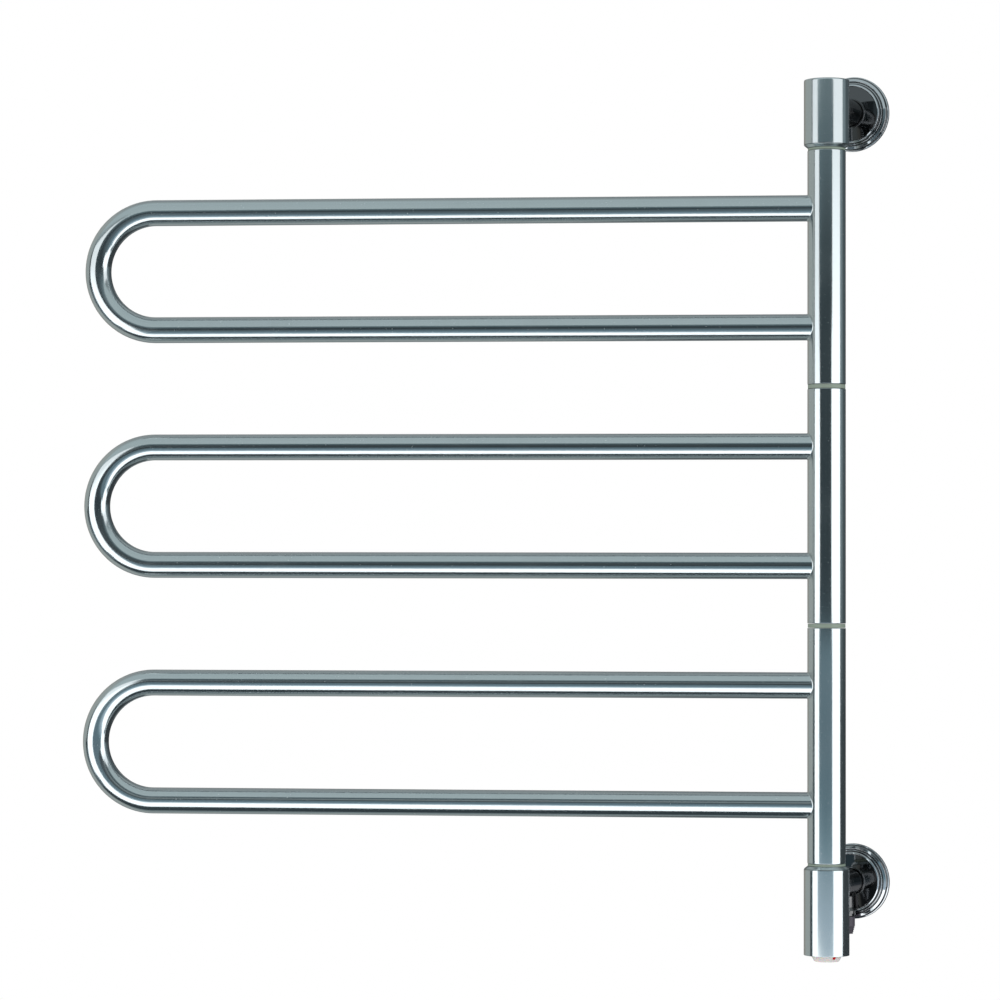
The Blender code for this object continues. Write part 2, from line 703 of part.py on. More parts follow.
def switch_and_wiring(looks):
    switch_bezel(looks)
    switch_boot(looks)
    switch_body(looks)
    switch_rocker(looks)
    terminal_block(looks)
    supply_leads(looks)


finishes = make_finishes()
brackets(finishes)
post(finishes)
for arm_name, arm_height in zip(ARM_NAMES, ARM_HEIGHTS):
    swivel_arm(arm_name, arm_height, finishes)
switch_and_wiring(finishes)
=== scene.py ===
"""Looks of a wall-hung towel warmer with three swivelling hairpin arms.

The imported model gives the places. The classes below hold the sizes of the fine meshes, build them in
the model's own frame and dress them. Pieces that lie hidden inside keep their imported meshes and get
finishes of their own.
"""

import json
import logging
import math
from dataclasses import dataclass
from enum import Enum
from typing import Optional, Sequence, Union

import bmesh
import bpy
from mathutils import Matrix, Vector


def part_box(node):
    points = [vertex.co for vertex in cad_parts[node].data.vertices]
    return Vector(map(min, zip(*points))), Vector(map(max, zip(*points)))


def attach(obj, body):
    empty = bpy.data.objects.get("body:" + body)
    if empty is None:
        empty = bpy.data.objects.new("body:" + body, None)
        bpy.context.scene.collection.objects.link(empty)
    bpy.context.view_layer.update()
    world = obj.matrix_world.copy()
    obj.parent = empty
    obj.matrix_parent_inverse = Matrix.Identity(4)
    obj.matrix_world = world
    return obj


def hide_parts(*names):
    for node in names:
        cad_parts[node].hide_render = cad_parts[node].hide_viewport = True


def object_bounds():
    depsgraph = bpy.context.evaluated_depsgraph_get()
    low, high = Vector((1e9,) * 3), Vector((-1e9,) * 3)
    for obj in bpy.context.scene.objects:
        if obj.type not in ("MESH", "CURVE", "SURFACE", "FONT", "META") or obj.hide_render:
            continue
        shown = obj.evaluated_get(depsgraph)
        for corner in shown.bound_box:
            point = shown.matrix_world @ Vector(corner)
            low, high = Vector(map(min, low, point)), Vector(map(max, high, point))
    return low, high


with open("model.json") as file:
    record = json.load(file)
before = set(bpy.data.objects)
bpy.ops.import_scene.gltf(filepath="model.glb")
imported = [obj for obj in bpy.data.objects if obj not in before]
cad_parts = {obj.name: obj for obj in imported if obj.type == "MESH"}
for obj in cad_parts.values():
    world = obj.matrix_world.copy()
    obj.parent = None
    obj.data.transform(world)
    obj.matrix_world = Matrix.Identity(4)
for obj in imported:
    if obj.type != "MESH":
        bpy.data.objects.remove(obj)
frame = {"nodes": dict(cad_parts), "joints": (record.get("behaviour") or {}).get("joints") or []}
cad_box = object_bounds()
log = logging.getLogger("towel_warmer")

Colour = tuple[float, float, float]
Outline = list[tuple[float, ...]]       # (radius, height), and a corner's own rounding if it has one
OUT_OF_WALL = Matrix.Rotation(math.radians(90), 4, "X")   # local +Z points out of the wall
GRAIN_ALONG = 0.015                     # how much slower the polish changes along its lines
SHARP_EDGE = math.radians(38)           # edges that turn more than this stay crisp
ROUNDED_EDGE = math.radians(40)         # packed edges that turn more than this are rounded
STRAIGHT_ON = math.radians(172)         # outline corners more open than this are left alone


# Node trees ----------------------------------------------------------------
class Socket:
    """An output of a node. Python's operators combine it through Math nodes."""

    def __init__(self, tree: "NodeTree", output: bpy.types.NodeSocket) -> None:
        """Wraps one output of a node in that tree."""
        self.tree = tree
        self.output = output

    def __add__(self, other: "Value") -> "Socket":
        """This value plus another."""
        return self.tree.maths("ADD", self, other)

    def __radd__(self, other: "Value") -> "Socket":
        """Another value plus this one."""
        return self.tree.maths("ADD", other, self)

    def __sub__(self, other: "Value") -> "Socket":
        """This value less another."""
        return self.tree.maths("SUBTRACT", self, other)

    def __rsub__(self, other: "Value") -> "Socket":
        """Another value less this one."""
        return self.tree.maths("SUBTRACT", other, self)

    def __mul__(self, other: "Value") -> "Socket":
        """This value times another."""
        return self.tree.maths("MULTIPLY", self, other)

    def __rmul__(self, other: "Value") -> "Socket":
        """Another value times this one."""
        return self.tree.maths("MULTIPLY", other, self)

    def __neg__(self) -> "Socket":
        """This value with its sign changed."""
        return self * -1.0


Value = Union[Socket, float, Sequence[float]]


class NodeTree:
    """Builds one node tree, a node at a time."""

    def __init__(self, tree: bpy.types.NodeTree) -> None:
        """Empties the tree that it is given and builds in it."""
        self.tree = tree
        self.tree.nodes.clear()

    def node(self, kind: str, settings: Optional[dict] = None, sockets: Optional[dict] = None,
             output: Union[int, str] = 0) -> Optional[Socket]:
        """Adds a node.

        Args:
            kind: the node's type.
            settings: its properties, set first; "stops" holds a ramp's (position, colour) pairs.
            sockets: values or links of its inputs, by name or number.
            output: name or number of the output to return.

        Returns:
            That output, or None for a node that has none.
        """
        node = self.tree.nodes.new(kind)
        for key, value in (settings or {}).items():
            if key == "stops":
                self.set_stops(node.color_ramp.elements, value)
            else:
                setattr(node, key, value)
        for key, value in (sockets or {}).items():
            if isinstance(value, Socket):
                self.tree.links.new(value.output, node.inputs[key])
            else:
                node.inputs[key].default_value = value
        return Socket(self, node.outputs[output]) if node.outputs else None

    @staticmethod
    def set_stops(elements: bpy.types.ColorRampElements,
                  stops: Sequence[tuple[float, Colour]]) -> None:
        """Gives a colour ramp its stops, in rising order.

        Args:
            elements: the ramp's elements, of which a new ramp has two.
            stops: (position, colour) pairs.
        """
        while len(elements) < len(stops):
            elements.new(1.0)
        for element, (position, colour) in zip(elements, stops):
            element.position = position
            element.color = (*colour, 1.0)

    def maths(self, operation: str, *values: Value) -> Socket:
        """A Math node on one to three values."""
        return self.node("ShaderNodeMath", {"operation": operation}, dict(enumerate(values)))

    def smooth(self, value: Socket, start: float, end: float) -> Socket:
        """A soft step: 0 at start, 1 at end."""
        return self.node("ShaderNodeMapRange", {"interpolation_type": "SMOOTHSTEP"},
                         {"Value": value, "From Min": start, "From Max": end})

    def mix(self, factor: Value, first: Value, second: Value) -> Socket:
        """A blend of two colours or links: a factor of 0 gives the first, 1 the second."""
        first, second = (one if isinstance(one, Socket) else (*one, 1.0) for one in (first, second))
        return self.node("ShaderNodeMix", {"data_type": "RGBA"}, {0: factor, 6: first, 7: second}, 2)

    def ramp(self, value: Socket, stops: Sequence[tuple[float, Colour]]) -> Socket:
        """The colour of a ramp at a value."""
        return self.node("ShaderNodeValToRGB", {"stops": stops}, {0: value})

    def noise(self, vector: Socket, scale: float, detail: float = 2.0,
              roughness: float = 0.5) -> Socket:
        """Noise of about 0 to 1, centred on 0.5."""
        return self.node("ShaderNodeTexNoise", None, {"Vector": vector, "Scale": scale,
                                                      "Detail": detail, "Roughness": roughness})

    def bump(self, height: Socket, distance: float, strength: float = 1.0) -> Socket:
        """A normal from a height of 0 to 1 that stands for a distance in metres."""
        return self.node("ShaderNodeBump", None,
                         {"Height": height, "Distance": distance, "Strength": strength})

    def place(self) -> Socket:
        """The point's place in its piece's own frame, in metres."""
        return self.node("ShaderNodeTexCoord", None, None, "Object")

    def stretched(self, vector: Socket, factors: Sequence[float]) -> Socket:
        """A vector with each part times its own factor."""
        return self.node("ShaderNodeVectorMath", {"operation": "MULTIPLY"}, {0: vector, 1: factors})

    def parts(self, vector: Socket) -> tuple[Socket, Socket, Socket]:
        """The three parts of a vector."""
        first = self.node("ShaderNodeSeparateXYZ", None, {0: vector})
        return tuple(Socket(self, output) for output in first.output.node.outputs)

    def radius(self, x: Socket, y: Socket) -> Socket:
        """The distance from the local Z axis."""
        return self.maths("SQRT", x * x + y * y)


# Finishes ------------------------------------------------------------------
@dataclass(frozen=True)
class Finish:
    """A finish that pieces can wear. Each kind fills in the sockets of its shader."""

    name: str
    slot: str
    colour: Colour
    roughness: float

    def sockets(self, tree: NodeTree) -> dict[str, Value]:
        """The shader's sockets by name."""
        raise NotImplementedError

    def material(self) -> bpy.types.Material:
        """The finish's material, made at its first use.

        Returns:
            The material.
        """
        found = bpy.data.materials.get(self.name)
        if found is not None:
            return found
        made = bpy.data.materials.new(self.name)
        made.use_nodes = True
        tree = NodeTree(made.node_tree)
        shader = tree.node("ShaderNodeBsdfPrincipled", None, self.sockets(tree))
        tree.node("ShaderNodeOutputMaterial", None, {"Surface": shader})
        return made


class Lay(Enum):
    """Which way the polish lines of a metal piece run."""

    ALONG = "along a straight tube"
    ROUND = "round a turned piece"
    PATH = "along a bent tube"


@dataclass(frozen=True)
class PolishedMetal(Finish):
    """Bright metal with fine polish lines, soft waves, wipe marks and a few dust specks."""

    lay: Lay = Lay.ALONG
    line_scale: float = 2400.0
    line_depth: float = 0.0000004
    wave_depth: float = 0.00001
    smear: float = 0.06
    painted_reflection_radius: float = 0.0      # inside this distance from the turning axis the metal is painted dark: a painted reflection of dark surroundings
    # colour of the painted dark reflection in the middle of the face
    painted_reflection: Colour = (0.13, 0.13, 0.135)
    fade: float = 0.0002
    grooves: tuple[float, ...] = ()     # distances from the turning axis of the grooves that get painted shade
    groove_width: float = 0.0009
    # colour of the painted shade in the grooves
    painted_groove_shade: Colour = (0.03, 0.03, 0.03)

    def grain(self, tree: NodeTree) -> Socket:
        """A coordinate that changes fast across the polish lines and slowly along them.

        Args:
            tree: the node tree to build in.

        Returns:
            The coordinate.
        """
        if self.lay is Lay.PATH:
            return tree.node("ShaderNodeAttribute", {"attribute_name": "grain"}, None, "Vector")
        if self.lay is Lay.ALONG:
            return tree.stretched(tree.place(), (1.0, 1.0, GRAIN_ALONG))
        x, y, z = tree.parts(tree.place())
        around = x * GRAIN_ALONG + y * GRAIN_ALONG
        return tree.node("ShaderNodeCombineXYZ", None, {0: tree.radius(x, y), 1: z, 2: around})

    def sockets(self, tree: NodeTree) -> dict[str, Value]:
        """Polish lines and waves, wipe marks, dust, and any painted dark reflection in the middle and
        painted shade in the grooves.

        Args:
            tree: the node tree to build in.

        Returns:
            The shader's sockets by name.
        """
        grain = self.grain(tree)
        place = tree.place()
        lines = tree.noise(grain, self.line_scale, 3.0, 0.6)
        waves = tree.noise(grain, self.line_scale * 0.06, 2.0)
        wipes = tree.smooth(tree.noise(place, 16.0, 4.0, 0.65), 0.48, 0.78)
        specks = tree.smooth(tree.noise(place, 900.0, 1.0), 0.74, 0.80)
        roughness = (self.roughness * 0.7 + lines * (self.roughness * 0.6)
                     + wipes * self.smear + specks * 0.25)
        worn = tuple(part * 0.90 for part in self.colour)
        colour = tree.mix(wipes * 0.5 + specks * 0.4, self.colour, worn)
        # Painted reflection: the middle of the face is painted dark, as if it mirrored dark
        # surroundings.
        if self.painted_reflection_radius:
            x, y, _ = tree.parts(place)
            radius = tree.radius(x, y)
            inner, outer = self.painted_reflection_radius - self.fade, self.painted_reflection_radius + self.fade
            colour = tree.mix(tree.smooth(radius, inner, outer), self.painted_reflection, colour)
            # Painted shade: each groove gets a thin near-black ring, standing in for the shade that
            # falls in it.
            for groove in self.grooves:
                off = tree.maths("ABSOLUTE", radius - groove)
                colour = tree.mix(tree.smooth(off, self.groove_width, 0.0), colour, self.painted_groove_shade)
        normal = tree.bump(lines * self.line_depth + waves * self.wave_depth, 1.0)
        return {"Base Color": colour, "Metallic": 1.0, "Roughness": roughness, "Normal": normal}


@dataclass(frozen=True)
class PlatedMetal(Finish):
    """Dull plated or drawn metal: small crystals, a matt grain and darker stains."""

    crystal_scale: float = 700.0
    stain: Colour = (0.30, 0.29, 0.27)

    def sockets(self, tree: NodeTree) -> dict[str, Value]:
        """Crystals in two tones, stains and a matt grain.

        Args:
            tree: the node tree to build in.

        Returns:
            The shader's sockets by name.
        """
        place = tree.place()
        crystals = tree.parts(tree.node("ShaderNodeTexVoronoi", None,
                                        {"Vector": place, "Scale": self.crystal_scale}, "Color"))[0]
        grain = tree.noise(place, self.crystal_scale * 4, 3.0, 0.6)
        stains = tree.smooth(tree.noise(place, 60.0, 4.0, 0.6), 0.52, 0.75)
        bright = tuple(min(1.0, part * 1.15) for part in self.colour)
        colour = tree.mix(stains * 0.6, tree.mix(crystals, self.colour, bright), self.stain)
        roughness = self.roughness - 0.05 + crystals * 0.08 + grain * 0.10 + stains * 0.15
        return {"Base Color": colour, "Metallic": 1.0, "Roughness": roughness,
                "Normal": tree.bump(grain, 0.000012, 0.6)}


@dataclass(frozen=True)
class Moulded(Finish):
    """Moulded plastic: fine sparked texture, cloudy colour and a trace of flow lines."""

    texture_scale: float = 2600.0
    texture_depth: float = 0.000012
    cloud: float = 0.12
    specular: float = 0.5

    def sockets(self, tree: NodeTree) -> dict[str, Value]:
        """Cloudy colour with flow lines under a sparked texture.

        Args:
            tree: the node tree to build in.

        Returns:
            The shader's sockets by name.
        """
        place = tree.place()
        texture = tree.noise(place, self.texture_scale, 2.0, 0.55)
        clouds = tree.noise(place, 120.0, 3.0, 0.5)
        flow = tree.noise(tree.stretched(place, (1.0, 1.0, 6.0)), 90.0, 2.0)
        dark = tuple(part * (1.0 - self.cloud) for part in self.colour)
        light = tuple(min(1.0, part * (1.0 + self.cloud)) for part in self.colour)
        colour = tree.mix(clouds * 0.7 + flow * 0.3, dark, light)
        roughness = self.roughness - 0.06 + texture * 0.08 + clouds * 0.06
        return {"Base Color": colour, "Metallic": 0.0, "Roughness": roughness,
                "Specular IOR Level": self.specular,
                "Normal": tree.bump(texture, self.texture_depth, 0.7)}


@dataclass(frozen=True)
class ClearSilicone(Finish):
    """Soft cloudy silicone that shows the rocker where it touches from inside."""

    transmission: float = 0.08
    touch: tuple[float, float, float] = (0.0094, -0.0082, -0.7142)
    touch_radius: float = 0.0020
    behind: Colour = (0.60, 0.004, 0.004)

    def sockets(self, tree: NodeTree) -> dict[str, Value]:
        """Milky clouds, an uneven skin and the red touch of the rocker.

        Args:
            tree: the node tree to build in.

        Returns:
            The shader's sockets by name.
        """
        place = tree.place()
        clouds = tree.noise(place, 260.0, 3.0, 0.6)
        orange_peel = tree.noise(place, 900.0, 2.0)
        milky = tuple(part * 0.93 for part in self.colour)
        reach = tree.node("ShaderNodeVectorMath", {"operation": "DISTANCE"},
                          {0: place, 1: self.touch}, "Value")
        shows = tree.smooth(reach, self.touch_radius, self.touch_radius * 0.6)
        return {"Base Color": tree.mix(shows, tree.mix(clouds, self.colour, milky), self.behind),
                "Roughness": self.roughness - 0.05 + clouds * 0.10,
                "Transmission Weight": self.transmission, "IOR": 1.41,
                "Subsurface Weight": 0.3, "Subsurface Scale": 0.004,
                "Normal": tree.bump(orange_peel, 0.00002, 0.5)}


@dataclass(frozen=True)
class Finishes:
    """Every finish of the warmer."""

    steel_along: Finish = PolishedMetal("steel_polished_along", "satin_steel",
                                        (0.62, 0.66, 0.67), 0.13, Lay.ALONG)
    steel_path: Finish = PolishedMetal("steel_polished_on_path", "satin_steel",
                                       (0.62, 0.66, 0.67), 0.13, Lay.PATH)
    steel_round: Finish = PolishedMetal("steel_turned", "satin_steel",
                                        (0.60, 0.66, 0.67), 0.20, Lay.ROUND)
    # 0.0234 is the radius of the painted dark reflection in the middle of the face; the listed grooves
    # get painted shade.
    chrome_rosette: Finish = PolishedMetal("chrome_rosette", "mirror_chrome", (0.66, 0.67, 0.69), 0.04,
                                           Lay.ROUND, 1800.0, 0.0000001, 0.000003, 0.04, 0.0234,
                                           grooves=(0.0257, 0.0273, 0.0307))
    chrome_smoked: Finish = PolishedMetal("chrome_smoked", "mirror_chrome", (0.15, 0.145, 0.145), 0.16,
                                          Lay.ALONG, 1800.0, 0.0000003, 0.000005, 0.06)
    nylon: Finish = Moulded("swivel_ring_nylon", "swivel_nylon", (0.23, 0.29, 0.235), 0.42)
    zinc: Finish = PlatedMetal("zinc_plate", "zinc_steel", (0.62, 0.62, 0.60), 0.38)
    sheath: Finish = PlatedMetal("element_tube", "element_sheath", (0.42, 0.41, 0.39), 0.48,
                                 1500.0, (0.20, 0.17, 0.15))
    brass: Finish = PlatedMetal("terminal_brass_stamped", "terminal_brass", (0.70, 0.55, 0.28), 0.32,
                                900.0, (0.35, 0.24, 0.10))
    silicone: Finish = ClearSilicone("boot_silicone", "clear_silicone", (0.98, 0.84, 0.82), 0.25)
    red: Finish = Moulded("rocker_red_gloss", "rocker_red", (0.70, 0.015, 0.015), 0.22,
                          1800.0, 0.000004, 0.15)
    black: Finish = Moulded("switch_black", "black_plastic", (0.022, 0.022, 0.026), 0.45)
    gland: Finish = Moulded("gland_purple_grey", "gland_nylon", (0.055, 0.045, 0.065), 0.48)
    white: Finish = Moulded("terminal_white_matt", "terminal_white", (0.72, 0.72, 0.68), 0.45)
    brown: Finish = Moulded("lead_brown_jacket", "lead_brown", (0.16, 0.07, 0.035), 0.42)
    blue: Finish = Moulded("lead_blue_jacket", "lead_blue", (0.04, 0.13, 0.38), 0.42)


# Mesh building -------------------------------------------------------------
def soften(outline: Outline, radius: float, steps: int = 4) -> Outline:
    """Rounds the corners of a closed outline that lie off the axis.

    Each arc gets a guard point on either side, which keeps the shading of the long faces true.

    Args:
        outline: (radius, height) corners; a third number is the rounding of that corner.
        radius: of the other arcs. Every arc is smaller where two corners lie close together.
        steps: points of each arc.

    Returns:
        The rounded outline.
    """
    rounded: Outline = []
    count = len(outline)
    for index, corner in enumerate(outline):
        here = Vector(corner[:2])
        before = Vector(outline[index - 1][:2]) - here
        after = Vector(outline[(index + 1) % count][:2]) - here
        turn = before.angle(after, math.pi)
        if corner[0] == 0.0 or turn > STRAIGHT_ON:
            rounded.append(corner[:2])
            continue
        own = corner[2] if len(corner) > 2 else radius
        reach = min(own / math.tan(turn / 2), 0.3 * min(before.length, after.length))
        start = here + before.normalized() * reach
        end = here + after.normalized() * reach
        rounded.append(tuple(start + (start - here) * 0.5))
        for step in range(steps + 1):
            along = step / steps
            rounded.append(tuple(start * (1 - along) ** 2 + here * (2 * along * (1 - along))
                                 + end * along ** 2))
        rounded.append(tuple(end + (end - here) * 0.5))
    return rounded


def bezier(corners: Sequence[tuple[float, float]], steps: int) -> Outline:
    """Points on a cubic curve, its ends included.

    Args:
        corners: its four control points.
        steps: stretches between the points.

    Returns:
        The points.
    """
    one, two, three, four = (Vector(corner) for corner in corners)
    points = []
    for step in range(steps + 1):
        t = step / steps
        s = 1 - t
        points.append(tuple(one * s ** 3 + two * (3 * s * s * t) + three * (3 * s * t * t)
                            + four * t ** 3))
    return points


def circle(radius: float, height: float, count: int) -> list[Vector]:
    """Points of a level circle about the local Z axis."""
    return [Vector((radius * math.cos(math.tau * index / count),
                    radius * math.sin(math.tau * index / count), height)) for index in range(count)]


def hexagon(apothem: float, height: float, count: int) -> list[Vector]:
    """Points round a level hexagon about the local Z axis.

    Args:
        apothem: from the middle to a flat.
        height: of the points.
        count: number of points, a multiple of six.

    Returns:
        The points.
    """
    points = []
    sector = math.tau / 6
    for index in range(count):
        angle = math.tau * index / count
        off_flat = (angle + sector / 2) % sector - sector / 2
        radius = apothem / math.cos(off_flat)
        points.append(Vector((radius * math.cos(angle), radius * math.sin(angle), height)))
    return points


@dataclass
class Station:
    """One section of a tube: where it lies, how wide it is, and the post that it is cut to fit."""

    centre: Vector
    tangent: Vector
    normal: Vector
    radius: float
    post: float = 0.0
    lift: float = 0.0

    def points(self, side: Vector, count: int) -> list[Vector]:
        """The section's points.

        Args:
            side: the direction across both the tube and the post.
            count: number of points.

        Returns:
            The points, starting on the normal. With a post, the centre lies on the post's axis
            and the points stand off its surface by the lift.
        """
        found = []
        for index in range(count):
            angle = math.tau * index / count
            across = self.radius * math.sin(angle)
            along = self.lift
            if self.post:
                along += math.sqrt(self.post ** 2 - across ** 2)
            found.append(self.centre + self.normal * (self.radius * math.cos(angle))
                         + side * across + self.tangent * along)
        return found


class Draft:
    """A closed mesh under construction, made of rings of points."""

    def __init__(self) -> None:
        """Starts with nothing."""
        self.points: list[Vector] = []
        self.grain: list[Vector] = []
        self.faces: list[tuple[int, ...]] = []

    def ring(self, points: Sequence[Vector]) -> list[int]:
        """Adds a ring of points.

        Args:
            points: in order round the ring.

        Returns:
            Their numbers.
        """
        first = len(self.points)
        self.points.extend(points)
        return list(range(first, len(self.points)))

    def bridge(self, one: list[int], two: list[int]) -> None:
        """Joins two rings with faces; either may be a single point.

        Args:
            one: numbers of the first ring's points.
            two: numbers of the second ring's points.
        """
        count = max(len(one), len(two))
        for index in range(count):
            after = (index + 1) % count
            corners = [one[index % len(one)], one[after % len(one)],
                       two[after % len(two)], two[index % len(two)]]
            self.faces.append(tuple(dict.fromkeys(corners)))

    def loft(self, sections: Sequence[Sequence[Vector]], closed: bool) -> "Draft":
        """Joins sections in order.

        Args:
            sections: rings of as many points each, or single points at the ends.
            closed: whether the last one joins the first.

        Returns:
            The draft itself.
        """
        rings = [self.ring(section) for section in sections]
        for one, two in zip(rings, rings[1:]):
            self.bridge(one, two)
        if closed:
            self.bridge(rings[-1], rings[0])
        return self

    def turn(self, outline: Outline, steps: int) -> "Draft":
        """Turns an outline about the local Z axis.

        Args:
            outline: (radius, height) points; an outline that ends on the axis at both ends is open.
            steps: points round the piece.

        Returns:
            The draft itself.
        """
        open_ended = outline[0][0] == 0.0 and outline[-1][0] == 0.0
        sections = [[Vector((0, 0, height))] if radius == 0.0 else circle(radius, height, steps)
                    for radius, height in outline]
        return self.loft(sections, not open_ended)

    def mesh(self, name: str) -> bpy.types.Mesh:
        """Makes the mesh, facing out, smooth, with its true edges sharp.

        Args:
            name: of the mesh.

        Returns:
            The finished mesh.
        """
        mesh = bpy.data.meshes.new(name)
        mesh.from_pydata(self.points, [], self.faces)
        shape = bmesh.new()
        shape.from_mesh(mesh)
        bmesh.ops.recalc_face_normals(shape, faces=shape.faces)
        shape.to_mesh(mesh)
        shape.free()
        if self.grain:
            attribute = mesh.attributes.new("grain", "FLOAT_VECTOR", "POINT")
            attribute.data.foreach_set("vector", [part for point in self.grain for part in point])
        smooth_shade(mesh)
        return mesh


def smooth_shade(mesh: bpy.types.Mesh) -> None:
    """Shades a mesh smooth, apart from its true edges."""
    mesh.shade_smooth()
    mesh.set_sharp_from_angle(angle=SHARP_EDGE)


def add_object(name: str, mesh: bpy.types.Mesh, place: Matrix) -> bpy.types.Object:
    """Puts a mesh in the scene.

    Args:
        name: of the object.
        mesh: its mesh.
        place: its frame in the row frame.

    Returns:
        The new object.
    """
    made = bpy.data.objects.new(name, mesh)
    bpy.context.scene.collection.objects.link(made)
    made.matrix_world = place
    return made


def pierce(piece: bpy.types.Object, drill: Draft, place: Matrix) -> None:
    """Cuts a hole through a piece.

    Args:
        piece: the object to cut.
        drill: the closed shape to take away.
        place: where the drill stands, in the row frame.
    """
    cutter = add_object("drill", drill.mesh("drill"), place)
    modifier = piece.modifiers.new("hole", "BOOLEAN")
    modifier.object = cutter
    modifier.solver = "EXACT"
    graph = bpy.context.evaluated_depsgraph_get()
    cut = bpy.data.meshes.new_from_object(piece.evaluated_get(graph))
    piece.modifiers.clear()
    old = piece.data
    piece.data = cut
    cut.name = old.name
    smooth_shade(cut)
    bpy.data.meshes.remove(old)
    bpy.data.objects.remove(cutter)


def add_piece(node: str, draft: Draft, finish: Finish, body: str,
              place: Optional[Matrix] = None) -> bpy.types.Object:
    """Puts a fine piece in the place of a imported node.

    Args:
        node: the node that it stands for.
        draft: its shape, in its own frame.
        finish: what it wears.
        body: the body that it rides on.
        place: its frame in the row frame.

    Returns:
        The new object.
    """
    name = node + "_fine"
    piece = add_object(name, draft.mesh(name), place or Matrix.Identity(4))
    piece.data.materials.append(finish.material())
    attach(piece, body)
    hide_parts(node)
    log.info("%s stands for %s on %s, with %d faces", name, node, body, len(piece.data.polygons))
    return piece


def tube(outer: float, bore: float, low: float, high: float) -> Outline:
    """The outline of a plain tube about the local Z axis."""
    return [(outer, high), (outer, low), (bore, low), (bore, high)]


def carry_over(node: str, finish: Finish, edge: float = 0.0) -> None:
    """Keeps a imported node's mesh and gives it a finish.

    Args:
        node: the node's name.
        finish: what it wears.
        edge: radius of the rounding on its edges.
    """
    piece = frame["nodes"][node]
    for slot in piece.material_slots:
        slot.material = finish.material()
    if edge:
        bevel = piece.modifiers.new("edge", "BEVEL")
        bevel.width = edge
        bevel.segments = 3
        bevel.limit_method = "ANGLE"
        bevel.angle_limit = ROUNDED_EDGE
    log.info("%s keeps its packed mesh and wears %s", node, finish.name)


def middle(node: str) -> Vector:
    """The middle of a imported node's box."""
    low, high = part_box(node)
    return (low + high) / 2


@dataclass
class SocketScrew:
    """A headless screw with a chamfer and a hexagon socket in its outer end, along local +Z."""

    radius: float
    length: float
    chamfer: float = 0.0003
    socket: float = 0.0009
    depth: float = 0.0016
    count: int = 36

    def draft(self) -> Draft:
        """The screw's shape, centred on its own middle.

        Returns:
            The draft.
        """
        half = self.length / 2
        lead = 0.00015
        return Draft().loft([
            [Vector((0, 0, -half))],
            circle(self.radius - self.chamfer, -half, self.count),
            circle(self.radius, -half + self.chamfer, self.count),
            circle(self.radius, half - self.chamfer, self.count),
            circle(self.radius - self.chamfer, half, self.count),
            hexagon(self.socket + lead, half, self.count),
            hexagon(self.socket, half - lead, self.count),
            hexagon(self.socket, half - self.depth, self.count),
            [Vector((0, 0, half - self.depth * 1.2))],
        ], False)


